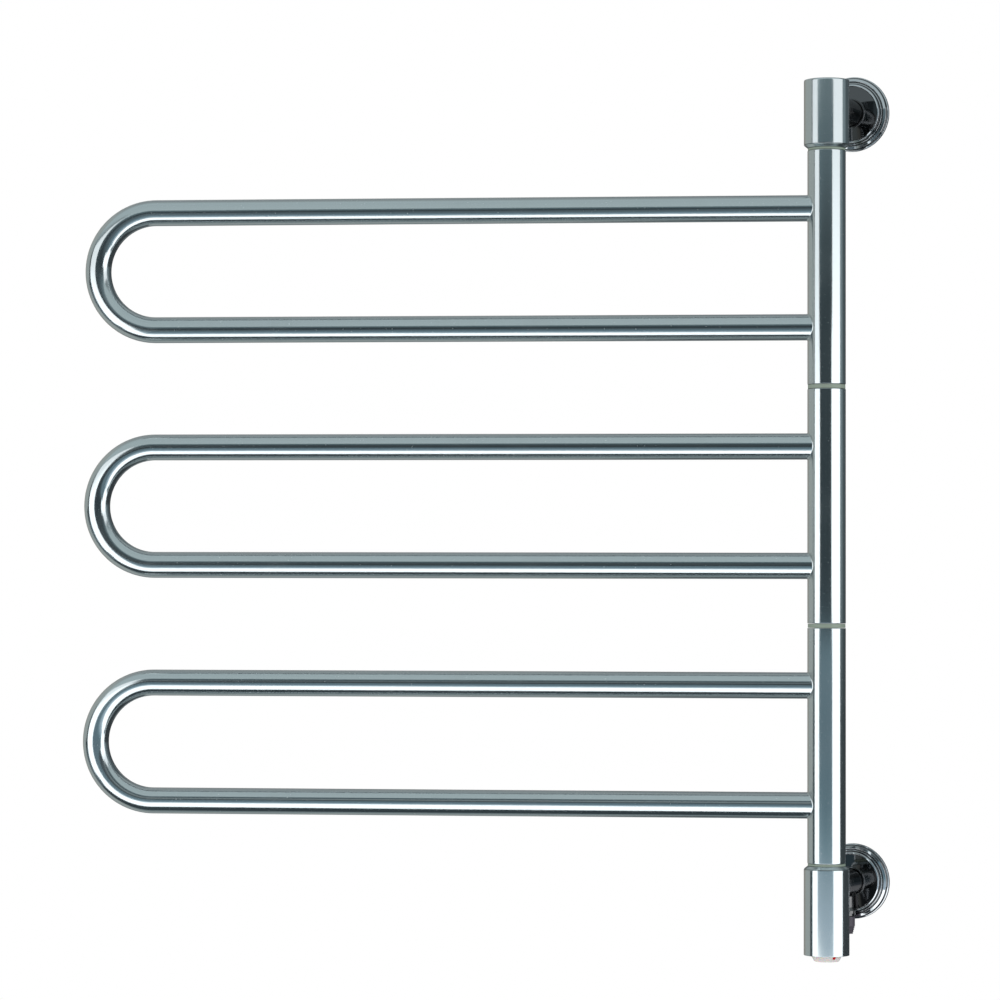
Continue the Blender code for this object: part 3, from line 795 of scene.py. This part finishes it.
# Brackets ------------------------------------------------------------------
@dataclass
class Bracket:
    """A wall bracket: screwed plate, stepped rosette, short arm and the grub screw that locks it."""

    label: str
    finishes: Finishes
    steps: int = 144
    post_standoff: float = 0.076
    housing_radius: float = 0.019
    arm_radius: float = 0.011
    arm_bore: float = 0.009
    arm_fillet: float = 0.0008
    arm_edge: float = 0.0003
    gap: float = 0.0003
    plate_radius: float = 0.026
    plate_thickness: float = 0.003
    hub_radius: float = 0.0087
    hub_bore: float = 0.0055
    hub_height: float = 0.013
    screw_offset: float = 0.018
    screw_hole: float = 0.0026
    screw_head: float = 0.0046
    grub_radius: float = 0.0025
    grub_length: float = 0.0035
    grub_socket: float = 0.00125
    rim_radius: float = 0.032
    collar_bore: float = 0.0113
    body: str = "wall_post"

    def frame(self) -> Matrix:
        """The bracket's frame: on the wall, local +Z out of it."""
        return Matrix.Translation((0, 0, middle(self.label + "_bracket_arm").z)) @ OUT_OF_WALL

    def build(self) -> None:
        """Makes every piece of the bracket."""
        self.plate()
        self.rosette()
        self.arm()
        self.grub_screw()

    def plate(self) -> None:
        """The plate against the wall, with its hub and two countersunk holes."""
        outline = [
            (0.0, self.plate_thickness),
            (self.hub_bore, self.plate_thickness),
            (self.hub_bore, self.hub_height),
            (self.hub_radius, self.hub_height),
            (self.hub_radius, self.plate_thickness),
            (self.plate_radius, self.plate_thickness),
            (self.plate_radius, 0.0),
            (0.0, 0.0),
        ]
        plate = add_piece(self.label + "_wall_plate", Draft().turn(soften(outline, 0.0003), self.steps),
                          self.finishes.zinc, self.body, self.frame())
        sink = self.screw_head - self.screw_hole
        over = 0.001
        hole = [
            (0.0, self.plate_thickness + over),
            (self.screw_head + over, self.plate_thickness + over),
            (self.screw_hole, self.plate_thickness - sink),
            (self.screw_hole, -over),
            (0.0, -over),
        ]
        for side in (-1, 1):
            place = self.frame() @ Matrix.Translation((side * self.screw_offset, 0, 0))
            pierce(plate, Draft().turn(hole, 48), place)

    def rosette(self) -> None:
        """The thin cover: a flat face in a raised bead, and below it a broad ring and the rim."""
        face = [
            (0.0126, 0.0100),
            (0.0126, 0.0090),
            (0.0232, 0.0085),
            (0.0238, 0.0091),
            (0.0248, 0.0089),
            (0.0254, 0.0078),
            (0.0256, 0.0062),
            (0.0266, 0.0060),
            (0.0269, 0.0053),
            (0.0277, 0.0051),
            (0.0281, 0.0057),
            (0.0302, 0.0052),
            (0.0308, 0.0044),
            (0.0310, 0.0032),
            (self.rim_radius, 0.0028, 0.0008),
            (self.rim_radius, 0.0),
        ]
        back = [
            (0.0308, 0.0),
            (0.0308, 0.0017),
            (0.0270, 0.0038),
            (0.0246, 0.0054),
            (0.0230, 0.0070),
            (self.collar_bore, 0.0073),
            (self.collar_bore, 0.0100),
        ]
        add_piece(self.label + "_rosette", Draft().turn(soften(face + back, 0.0003, 5), self.steps),
                  self.finishes.chrome_rosette, self.body, self.frame())

    def arm(self) -> None:
        """The tube from the plate to the housing, filleted where it meets the housing."""
        out, up = Vector((0, 0, 1)), Vector((0, 1, 0))
        start = self.plate_thickness + self.gap
        axis = Vector((0, 0, self.post_standoff))

        def plain(radius: float, height: float) -> Station:
            """A flat section at a height above the wall."""
            return Station(out * height, out, up, radius)

        def fitted(radius: float, lift: float) -> Station:
            """A section that follows the housing's round back."""
            return Station(axis, -out, up, radius, self.housing_radius, lift)

        stations = [plain(self.arm_radius - self.arm_edge, start),
                    plain(self.arm_radius, start + self.arm_edge),
                    plain(self.arm_radius, start + 0.0008), plain(self.arm_radius, 0.030),
                    fitted(self.arm_radius, 2 * self.arm_fillet)]
        for step in range(7):
            turn = math.radians(15 * step)
            stations.append(fitted(self.arm_radius + self.arm_fillet * (1 - math.cos(turn)),
                                   self.arm_fillet * (1 - math.sin(turn))))
        stations += [fitted(self.arm_bore, 0.0), plain(self.arm_bore, start)]
        sections = [station.points(Vector((1, 0, 0)), 72) for station in stations]
        add_piece(self.label + "_bracket_arm", Draft().loft(sections, True),
                  self.finishes.chrome_smoked, self.body, self.frame())

    def grub_screw(self) -> None:
        """The screw on the arm's underside."""
        node = self.label + "_bracket_grub_screw"
        place = Matrix.Translation(middle(node)) @ Matrix.Rotation(math.pi, 4, "X")
        screw = SocketScrew(self.grub_radius, self.grub_length, socket=self.grub_socket)
        add_piece(node, screw.draft(), self.finishes.zinc, self.body, place)


@dataclass
class SupplyGland:
    """The metal ferrule and the tapered nylon gland under the lower bracket."""

    finishes: Finishes
    steps: int = 96
    shank: float = 0.0045
    ferrule_radius: float = 0.0062
    ferrule_foot: float = 0.0058
    ferrule_bore: float = 0.0036
    gland_radius: float = 0.0058
    gland_tip: float = 0.0042
    gland_bore: float = 0.0028
    body: str = "wall_post"

    def build(self) -> None:
        """Makes the ferrule and the gland."""
        axis = middle("cord_gland")
        ferrule_low, ferrule_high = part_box("gland_ferrule")
        gland_low, gland_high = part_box("cord_gland")
        place = Matrix.Translation((axis.x, axis.y, 0))
        outline = [
            (self.shank, ferrule_high.z),
            (self.shank, ferrule_low.z + 0.0075),
            (self.ferrule_radius, ferrule_low.z + 0.0045),
            (self.ferrule_radius, ferrule_low.z + 0.0023),
            (self.ferrule_foot, ferrule_low.z),
            (self.ferrule_bore, ferrule_low.z),
            (self.ferrule_bore, ferrule_high.z),
        ]
        add_piece("gland_ferrule", Draft().turn(soften(outline, 0.0004), self.steps),
                  self.finishes.chrome_smoked, self.body, place)
        collar_end = gland_high.z - 0.0085
        outline = [(self.gland_radius, gland_high.z), (self.gland_radius, collar_end)]
        ribs = 4
        drop = (collar_end - gland_low.z) / ribs
        for rib in range(ribs):
            share = (rib + 1) / ribs
            wide = self.gland_radius + (self.gland_tip - self.gland_radius) * share
            top = collar_end - rib * drop
            outline += [(wide - 0.0003, top - 0.15 * drop), (wide - 0.0003, top - 0.35 * drop),
                        (wide, top - 0.5 * drop), (wide, top - drop)]
        outline += [(self.gland_bore, gland_low.z), (self.gland_bore, gland_high.z)]
        add_piece("cord_gland", Draft().turn(soften(outline, 0.0003), self.steps),
                  self.finishes.gland, self.body, place)


# Post ----------------------------------------------------------------------
@dataclass
class Post:
    """The fixed post: two housings, their chamfered collars and the pale rings between the sleeves."""

    finishes: Finishes
    steps: int = 144
    housing_radius: float = 0.019
    housing_bore: float = 0.017
    crown_round: float = 0.0012
    ceiling: float = 0.0025
    sleeve_radius: float = 0.016
    spindle_clear: float = 0.0103
    ring_radius: float = 0.0157
    chamfer: float = 0.0024
    edge: float = 0.00025
    gap: float = 0.0003
    body: str = "wall_post"

    def frame(self) -> Matrix:
        """A frame on the post's axis at the height of the origin."""
        axis = middle("spindle_tube")
        return Matrix.Translation((axis.x, axis.y, 0))

    def build(self) -> None:
        """Makes every piece of the post that shows."""
        self.upper_housing()
        self.lower_housing()
        self.end_collar("upper", 1)
        self.end_collar("lower", -1)
        for number in range(1, 5):
            self.ring(number)

    def turned(self, node: str, outline: Outline, finish: Finish) -> bpy.types.Object:
        """A turned piece on the post's axis."""
        return add_piece(node, Draft().turn(outline, self.steps), finish, self.body, self.frame())

    def upper_housing(self) -> None:
        """The closed cap at the top, with a small round on its crown."""
        low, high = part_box("upper_housing")
        outline = [(0.0, high.z), (self.housing_radius, high.z, self.crown_round),
                   (self.housing_radius, low.z), (self.housing_bore, low.z),
                   (self.housing_bore, high.z - self.ceiling), (0.0, high.z - self.ceiling)]
        self.turned("upper_housing", soften(outline, self.edge, 7), self.finishes.steel_along)

    def lower_housing(self) -> None:
        """The open tube at the bottom."""
        low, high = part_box("lower_housing")
        outline = tube(self.housing_radius, self.housing_bore, low.z, high.z)
        self.turned("lower_housing", soften(outline, self.edge), self.finishes.steel_along)

    def end_collar(self, label: str, inward: int) -> None:
        """The chamfered plug in a housing's inner end.

        Args:
            label: upper or lower.
            inward: 1 where the housing lies above the collar, -1 below.
        """
        node = label + "_end_collar"
        low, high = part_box(node)
        face, back = (low.z, high.z) if inward > 0 else (high.z, low.z)
        shoulder = face + inward * self.chamfer
        spigot = self.housing_bore - self.gap
        outline = [(spigot, back), (spigot, shoulder), (self.housing_radius, shoulder),
                   (self.sleeve_radius, face), (self.spindle_clear, face), (self.spindle_clear, back)]
        self.turned(node, soften(outline, self.edge), self.finishes.steel_round)

    def ring(self, number: int) -> None:
        """One of the nylon rings that the sleeves turn on.

        Args:
            number: 1 for the top one, up to 4.
        """
        node = f"swivel_ring_{number}"
        low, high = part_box(node)
        outline = tube(self.ring_radius, self.spindle_clear, low.z, high.z)
        self.turned(node, soften(outline, self.edge), self.finishes.nylon)


# Swivelling arms -----------------------------------------------------------
@dataclass
class SwivelArm:
    """One arm: a sleeve on the post with a hairpin of tube welded to it."""

    label: str
    finishes: Finishes
    sleeve_steps: int = 144
    bar_steps: int = 72
    bend_steps: int = 56
    sleeve_radius: float = 0.016
    sleeve_bore: float = 0.0145
    sleeve_edge: float = 0.0004
    bar_radius: float = 0.011
    bar_bore: float = 0.0097
    bend_radius: float = 0.050
    bend_middle: float = 0.5693
    weld: float = 0.0006
    stop_drop: float = 0.070
    stop_hole: float = 0.0018
    stop_radius: float = 0.0015
    stop_length: float = 0.0040

    def body(self) -> str:
        """The body that the arm's pieces ride on."""
        return self.label + "_arm"

    def joint(self) -> dict:
        """The record of the arm's swivel joint."""
        return next(one for one in frame["joints"] if one["child"] == self.body())

    def place(self) -> Matrix:
        """The middle of the swivel joint, turned as the row frame is."""
        return Matrix.Translation(self.joint()["pos_m"])

    def swing(self) -> Matrix:
        """The turn that brings -X along the bars."""
        return Matrix.Rotation(-math.radians(self.joint()["range_deg"][0]), 4, "Z")

    def build(self) -> None:
        """Makes the arm's outer pieces and dresses its inner ones."""
        self.sleeve()
        self.hairpin()
        self.stop_screw()
        for word in ("top", "bottom"):
            carry_over(f"{self.label}_sleeve_{word}_bush", self.finishes.nylon)
        carry_over(self.label + "_heating_element", self.finishes.sheath)

    def sleeve(self) -> None:
        """The turning section of the post, with the hole for its stop screw."""
        low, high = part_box(self.label + "_sleeve")
        half = (high.z - low.z) / 2
        guard = 0.004
        outline = [(self.sleeve_radius, half), (self.sleeve_radius, -self.stop_drop + guard),
                   (self.sleeve_radius, -self.stop_drop - guard), (self.sleeve_radius, -half),
                   (self.sleeve_bore, -half), (self.sleeve_bore, half)]
        outline = soften(outline, self.sleeve_edge)
        sleeve = add_piece(self.label + "_sleeve", Draft().turn(outline, self.sleeve_steps),
                           self.finishes.steel_along, self.body(), self.place())
        drill = [(0.0, guard), (self.stop_hole, guard), (self.stop_hole, -guard), (0.0, -guard)]
        pierce(sleeve, Draft().turn(drill, 48), self.stop_place(self.sleeve_radius))

    def stop_place(self, reach: float) -> Matrix:
        """A frame on the stop screw's axis, local +Z outward.

        Args:
            reach: from the post's axis.

        Returns:
            The frame.
        """
        outward = Matrix.Rotation(math.radians(-90), 4, "X")
        spot = Matrix.Translation((0, reach, -self.stop_drop))
        return self.place() @ self.swing() @ spot @ outward

    def stop_screw(self) -> None:
        """The small screw that meets the stop collar inside."""
        screw = SocketScrew(self.stop_radius, self.stop_length, 0.0002, 0.00065, 0.0012)
        reach = self.sleeve_radius - 0.0002 - self.stop_length / 2
        add_piece(self.label + "_stop_screw", screw.draft(), self.finishes.zinc, self.body(),
                  self.stop_place(reach))

    def run(self, radius: float) -> list[Station]:
        """The sections of the bent part of the tube, from the upper leg round to the lower.

        Args:
            radius: of the sections.

        Returns:
            The sections in order.
        """
        stations = []
        centre = Vector((-self.bend_middle, 0, 0))
        for step in range(self.bend_steps + 1):
            angle = math.pi / 2 + math.pi * step / self.bend_steps
            normal = Vector((math.cos(angle), 0, math.sin(angle)))
            tangent = Vector((-math.sin(angle), 0, math.cos(angle)))
            stations.append(Station(centre + normal * self.bend_radius, tangent, normal, radius))
        return stations

    def fitted(self, upward: int, radius: float, lift: float) -> Station:
        """A section that follows the sleeve's round side, on the upper (1) or lower (-1) leg."""
        return Station(Vector((0, 0, upward * self.bend_radius)), Vector((-1, 0, 0)),
                       Vector((0, 0, upward)), radius, self.sleeve_radius, lift)

    def leg(self, upward: int) -> list[Station]:
        """The sections of a leg's outer side, from the weld at the sleeve outwards.

        Args:
            upward: 1 for the upper leg, -1 for the lower.

        Returns:
            The sections in order.
        """
        stations = []
        for step in range(7):
            turn = math.radians(90 - 15 * step)
            stations.append(self.fitted(upward, self.bar_radius + self.weld * (1 - math.cos(turn)),
                                        self.weld * (1 - math.sin(turn))))
        stations.append(self.fitted(upward, self.bar_radius, 2.5 * self.weld))
        for share in (0.1, 0.4, 0.7, 0.95):
            centre = Vector((-self.bend_middle * share, 0, upward * self.bend_radius))
            stations.append(Station(centre, Vector((-1, 0, 0)), Vector((0, 0, upward)),
                                    self.bar_radius))
        return stations

    def hairpin(self) -> None:
        """The bent tube, open inside, with a weld fillet at each end."""
        outer = self.leg(1) + self.run(self.bar_radius) + self.leg(-1)[::-1]
        inner = [self.fitted(1, self.bar_bore, 0.0)] + self.run(self.bar_bore)
        inner.append(self.fitted(-1, self.bar_bore, 0.0))
        stations = outer + inner[::-1]
        side = Vector((0, 1, 0))
        swing = self.swing()
        draft = Draft().loft([[swing @ point for point in station.points(side, self.bar_steps)]
                              for station in stations], True)
        travelled = 0.0
        spot = stations[0].centre
        for station in stations:
            travelled += (station.centre - spot).length
            spot = station.centre
            for index in range(self.bar_steps):
                angle = math.tau * index / self.bar_steps
                draft.grain.append(Vector((station.radius * math.cos(angle),
                                           station.radius * math.sin(angle), GRAIN_ALONG * travelled)))
        add_piece(self.label + "_hairpin", draft, self.finishes.steel_path, self.body(), self.place())


# Switch and wiring ---------------------------------------------------------
@dataclass
class RimSwitch:
    """The rocker switch in the lower housing's mouth, under its silicone boot."""

    finishes: Finishes
    steps: int = 128
    gap: float = 0.0003
    housing_bore: float = 0.017
    bezel_bore: float = 0.0133
    boot_wall: float = 0.0008
    flange_radius: float = 0.0164
    skirt_radius: float = 0.0130
    face_radius: float = 0.0099
    body: str = "wall_post"

    def build(self) -> None:
        """Makes the bezel and boot and dresses the switch behind them."""
        self.bezel()
        self.boot()
        carry_over("switch_body", self.finishes.black, 0.0004)
        carry_over("switch_rocker", self.finishes.red, 0.0004)
        carry_over("rocker_pin", self.finishes.zinc)
        for number in (1, 2, 3):
            carry_over(f"switch_tab_{number}", self.finishes.brass, 0.0001)

    def place(self) -> Matrix:
        """A frame on the post's axis at the height of the origin."""
        axis = middle("switch_boot")
        return Matrix.Translation((axis.x, axis.y, 0))

    def bezel(self) -> None:
        """The ring that holds the boot."""
        low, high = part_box("switch_bezel")
        outline = tube(self.housing_bore - self.gap, self.bezel_bore, low.z, high.z)
        add_piece("switch_bezel", Draft().turn(soften(outline, 0.0003), self.steps),
                  self.finishes.black, self.body, self.place())

    def boot(self) -> None:
        """The cap: a flange above, a straight skirt and a tapered face with a soft edge."""
        low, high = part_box("switch_boot")
        wall = self.boot_wall
        flange = 0.0015
        taper = 0.0044
        shoulder = low.z + taper
        rim = self.face_radius
        face = [(0.0, low.z), (rim - 0.0015, low.z)]
        face += bezier([(rim - 0.0003, low.z), (rim + 0.0003, low.z),
                        (rim + 0.0005, low.z + 0.0003), (rim + 0.0009, low.z + 0.0010)], 6)
        skirt = [(self.skirt_radius, shoulder), (self.skirt_radius, high.z - flange),
                 (self.flange_radius, high.z - flange), (self.flange_radius, high.z),
                 (self.skirt_radius - wall, high.z), (self.skirt_radius - wall, shoulder + 0.0003),
                 (rim - 0.0005, low.z + wall), (0.0, low.z + wall)]
        outline = face + soften(skirt, 0.0004)
        add_piece("switch_boot", Draft().turn(outline, self.steps), self.finishes.silicone,
                  self.body, self.place())


@dataclass
class InnerWorks:
    """Everything that lies hidden in the post: spindle, nuts, stops, terminals and leads."""

    finishes: Finishes

    def build(self) -> None:
        """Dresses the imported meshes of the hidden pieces."""
        zinc = ["spindle_tube", "upper_spindle_nut", "lower_spindle_nut",
                "upper_stop_collar", "middle_stop_collar", "lower_stop_collar"]
        for node in zinc:
            carry_over(node, self.finishes.zinc)
        carry_over("terminal_block", self.finishes.white, 0.0004)
        for number in (1, 2, 3):
            carry_over(f"terminal_screw_{number}", self.finishes.brass)
        carry_over("live_lead", self.finishes.brown)
        carry_over("neutral_lead", self.finishes.blue)


# Studio --------------------------------------------------------------------
@dataclass(frozen=True)
class Panel:
    """A lit panel of the studio, given by two corners of its first edge and two of its last edge.

    The corners are (to the camera's right, towards the camera, height), from the post's axis.
    """

    name: str
    corners: tuple[tuple[float, float, float], ...]
    stops: tuple[tuple[float, Colour], ...]

    @classmethod
    def upright(cls, name: str, start: tuple[float, float], end: tuple[float, float],
                heights: tuple[float, float], stops: tuple[tuple[float, Colour], ...]) -> "Panel":
        """An upright panel, from two (right, near) sides and its lowest and highest point."""
        low, high = heights
        return cls(name, ((*start, low), (*end, low), (*end, high), (*start, high)), stops)

    @classmethod
    def sloped(cls, name: str, sides: tuple[float, float], first: tuple[float, float],
               last: tuple[float, float], stops: tuple[tuple[float, Colour], ...]) -> "Panel":
        """A panel across the view, between its sides, from one (near, height) edge to another."""
        left, right = sides
        return cls(name, ((left, *first), (right, *first), (right, *last), (left, *last)), stops)


@dataclass
class Studio:
    """The camera, a pale floor and the soft lit surroundings that the metal mirrors."""

    heading: float = math.radians(22.81)      # of the camera, turned left from the wall's normal
    pitch: float = math.radians(1.587)
    roll: float = 0.0025
    distance: float = 3.0391                  # along the heading, from the post's axis
    aside: float = -0.2733                    # to the camera's right of the post's axis
    height: float = -0.4177
    lens: float = 130.8
    white: Colour = (1.70, 1.78, 1.82)
    dim_share: float = 0.68
    dark: Colour = (0.032, 0.048, 0.056)
    floor_drop: float = 0.55
    floor_size: float = 2.6

    def across(self) -> Vector:
        """The level direction to the camera's right."""
        return Vector((math.cos(self.heading), math.sin(self.heading), 0))

    def towards(self) -> Vector:
        """The level direction from the object towards the camera."""
        return Vector((math.sin(self.heading), -math.cos(self.heading), 0))

    def spot(self, right: float, near: float, height: float) -> Vector:
        """A point given from the post's axis, as a panel's corner is."""
        axis = middle("spindle_tube")
        return Vector((axis.x, axis.y, height)) + self.across() * right + self.towards() * near

    def build(self) -> None:
        """Sets the camera, the surroundings, the panels and the floor."""
        self.camera()
        self.surroundings()
        for panel in self.panels():
            self.hang(panel)
        self.floor()
        bpy.context.scene.view_settings.view_transform = "Standard"

    def camera(self) -> None:
        """A long lens, a little below the middle and turned a little upward."""
        data = bpy.data.cameras.new("camera")
        data.lens = self.lens
        data.sensor_width = 36.0
        data.clip_end = 50.0
        camera = bpy.data.objects.new("camera", data)
        bpy.context.scene.collection.objects.link(camera)
        level, rise = math.cos(self.pitch), math.sin(self.pitch)
        forward = -self.towards() * level + Vector((0, 0, rise))
        right = self.across()
        up = right.cross(forward)
        tilted = right * math.cos(self.roll) + up * math.sin(self.roll)
        upward = up * math.cos(self.roll) - right * math.sin(self.roll)
        turn = Matrix((tilted, upward, -forward)).transposed().to_4x4()
        place = Matrix.Translation(self.spot(self.aside, self.distance, self.height))
        camera.matrix_world = place @ turn
        bpy.context.scene.camera = camera

    def surroundings(self) -> None:
        """The dim room between the panels, told apart by direction; the backdrop itself is white."""
        world = bpy.data.worlds.new("studio")
        bpy.context.scene.world = world
        world.use_nodes = True
        tree = NodeTree(world.node_tree)
        direction = tree.node("ShaderNodeTexCoord", None, None, "Generated")
        right = self.dot(tree, direction, self.across())
        near = self.dot(tree, direction, self.towards())
        rise = self.dot(tree, direction, Vector((0, 0, 1)))
        azimuth = tree.maths("ARCTAN2", right, near) * (180 / math.pi)
        low = tree.smooth(rise, 0.02, -0.04)

        ceiling, ceiling_behind = (0.48, 0.57, 0.59), (0.31, 0.35, 0.36)
        ground, ground_behind = (0.15, 0.18, 0.20), (0.25, 0.30, 0.31)
        doorway, left_wall, warm_wall = (0.06, 0.065, 0.07), (0.42, 0.46, 0.45), (0.36, 0.355, 0.32)
        slate, gloom, deep_gloom = (0.23, 0.29, 0.31), (0.085, 0.11, 0.12), (0.045, 0.055, 0.060)
        share = rise * 0.5 + 0.5

        front = tree.ramp(share, [
            (0.05, ground), (0.40, (0.10, 0.14, 0.16)), (0.47, self.dark), (0.52, self.dark),
            (0.56, (0.060, 0.080, 0.088)), (0.62, (0.050, 0.066, 0.074)), (0.80, ceiling)])
        behind = tree.ramp(share, [
            (0.10, ground_behind), (0.30, (0.25, 0.29, 0.30)), (0.36, doorway),
            (0.64, doorway), (0.70, (0.27, 0.30, 0.31)), (0.90, (0.30, 0.34, 0.35))])
        left_rear = tree.smooth(right, -0.18, -0.36) * tree.smooth(rise * rise, 0.20, 0.10)
        behind = tree.mix(left_rear, behind, warm_wall)
        right_side = tree.mix(tree.smooth(azimuth, 100.0, 112.0), slate, gloom)
        right_side = tree.mix(low, right_side, deep_gloom)

        past_left = tree.smooth(-azimuth - low * 12.0, 83.0, 87.0)
        room = tree.mix(past_left, front, left_wall)
        room = tree.mix(tree.smooth(azimuth, 76.0, 80.0), room, right_side)
        room = tree.mix(tree.smooth(near, -0.60, -0.92), room, behind)
        overhead = tree.mix(tree.smooth(near, 0.10, -0.50), ceiling, ceiling_behind)
        room = tree.mix(tree.smooth(rise, 0.62, 0.82), room, overhead)
        underfoot = tree.mix(tree.smooth(near, 0.30, -0.30), ground, ground_behind)
        room = tree.mix(tree.smooth(rise, -0.80, -0.92), room, underfoot)

        lit = tree.node("ShaderNodeBackground", None, {"Color": room, "Strength": 1.0})
        paper = tree.node("ShaderNodeBackground", None, {"Color": (1, 1, 1, 1), "Strength": 1.0})
        mirrored = tree.node("ShaderNodeLightPath", None, None, "Is Glossy Ray")
        both = tree.node("ShaderNodeMixShader", None, {0: mirrored, 1: paper, 2: lit})
        tree.node("ShaderNodeOutputWorld", None, {"Surface": both})

    @staticmethod
    def dot(tree: NodeTree, vector: Socket, axis: Vector) -> Socket:
        """The part of a vector along an axis."""
        return tree.node("ShaderNodeVectorMath", {"operation": "DOT_PRODUCT"},
                         {0: vector, 1: tuple(axis)}, "Value")

    def panels(self) -> list[Panel]:
        """The lit panels: white at the left, the right and low in front, grey above, slate between.

        Returns:
            The panels.
        """
        dim = tuple(part * self.dim_share for part in self.white)
        pale_slate, shade = (0.42, 0.54, 0.63), (0.045, 0.062, 0.07)
        side = ((0.0, self.white), (0.60, self.white), (0.78, dim), (1.0, dim))
        slate = ((0.0, pale_slate), (0.322, pale_slate), (0.402, (0.36, 0.465, 0.53)),
                 (0.478, (0.18, 0.295, 0.345)), (0.565, (0.13, 0.21, 0.25)), (0.80, (0.15, 0.22, 0.26)),
                 (0.94, (0.19, 0.285, 0.33)), (1.0, self.dark))
        upper = ((0.0, self.dark), (0.35, (0.060, 0.085, 0.095)), (0.60, (0.12, 0.17, 0.19)),
                 (1.0, (0.14, 0.20, 0.22)))
        roof = ((0.0, (0.50, 0.59, 0.61)), (1.0, (0.46, 0.55, 0.57)))
        low, left_top, right_top = -1.00, 0.30, 0.45
        return [
            Panel.upright("left_panel", (-1.02, 0.985), (-1.60, 0.27), (low, left_top), side),
            Panel.upright("right_panel", (0.58, 1.30), (1.60, 0.20), (low, right_top), side),
            Panel.sloped("low_board", (-1.40, 0.90), (0.36, -1.16), (0.63, -0.79),
                         ((0.0, self.white), (1.0, self.white))),
            Panel.sloped("slate_strip", (-1.00, 0.45), (0.81, -0.90), (0.81, -0.44), slate),
            Panel.sloped("upper_shade", (-1.00, 0.45), (0.81, -0.12), (0.81, 0.17), upper),
            Panel.sloped("roof", (-1.00, 0.35), (0.80, 0.17), (0.20, 0.80), roof),
            Panel.sloped("under_shade", (-1.40, 0.90), (-0.12, -1.16), (0.36, -1.16),
                         ((0.0, shade), (1.0, shade))),
        ]

    def hang(self, panel: Panel) -> None:
        """Makes a panel that lights the object and shows in the metal, but not to the camera.

        Args:
            panel: its place and light.
        """
        mesh = bpy.data.meshes.new(panel.name)
        mesh.from_pydata([self.spot(*corner) for corner in panel.corners], [], [(0, 1, 2, 3)])
        shares = mesh.attributes.new("share", "FLOAT", "POINT")
        shares.data.foreach_set("value", [0.0, 0.0, 1.0, 1.0])
        material = bpy.data.materials.new(panel.name)
        material.use_nodes = True
        tree = NodeTree(material.node_tree)
        share = tree.node("ShaderNodeAttribute", {"attribute_name": "share"}, None, "Fac")
        glow = tree.node("ShaderNodeEmission", None, {"Color": tree.ramp(share, panel.stops),
                                                      "Strength": 1.0})
        tree.node("ShaderNodeOutputMaterial", None, {"Surface": glow})
        mesh.materials.append(material)
        made = add_object(panel.name, mesh, Matrix.Identity(4))
        made.visible_camera = False
        made.visible_shadow = False
        made.visible_diffuse = False
        made.visible_transmission = False

    def floor(self) -> None:
        """A pale floor, well under the object, that is clear when seen from beneath."""
        mesh = bpy.data.meshes.new("floor")
        half = self.floor_size / 2
        height = cad_box[0].z - self.floor_drop
        corners = [(-half, -half), (-half, half), (half, half), (half, -half)]
        mesh.from_pydata([self.spot(x - 0.3, y, height) for x, y in corners], [], [(0, 1, 2, 3)])
        material = bpy.data.materials.new("floor_paper")
        material.use_nodes = True
        tree = NodeTree(material.node_tree)
        shader = tree.node("ShaderNodeBsdfPrincipled", None, {
            "Base Color": (0.82, 0.82, 0.81, 1.0), "Roughness": 0.9, "Specular IOR Level": 0.1})
        underside = tree.node("ShaderNodeNewGeometry", None, None, "Backfacing")
        clear = tree.node("ShaderNodeBsdfTransparent")
        both = tree.node("ShaderNodeMixShader", None, {0: underside, 1: shader, 2: clear})
        tree.node("ShaderNodeOutputMaterial", None, {"Surface": both})
        mesh.materials.append(material)
        made = add_object("floor", mesh, Matrix.Identity(4))
        made.visible_glossy = False
        made.visible_transmission = False


def main() -> None:
    """Builds the warmer and its studio."""
    logging.basicConfig(level=logging.INFO, format="%(name)s: %(message)s")
    finishes = Finishes()
    sub_assemblies = [
        Bracket("upper", finishes),
        Bracket("lower", finishes),
        SupplyGland(finishes),
        Post(finishes),
        SwivelArm("upper", finishes),
        SwivelArm("middle", finishes),
        SwivelArm("lower", finishes),
        RimSwitch(finishes),
        InnerWorks(finishes),
    ]
    for sub_assembly in sub_assemblies:
        sub_assembly.build()
    Studio().build()


if __name__ == "__main__":
    main()
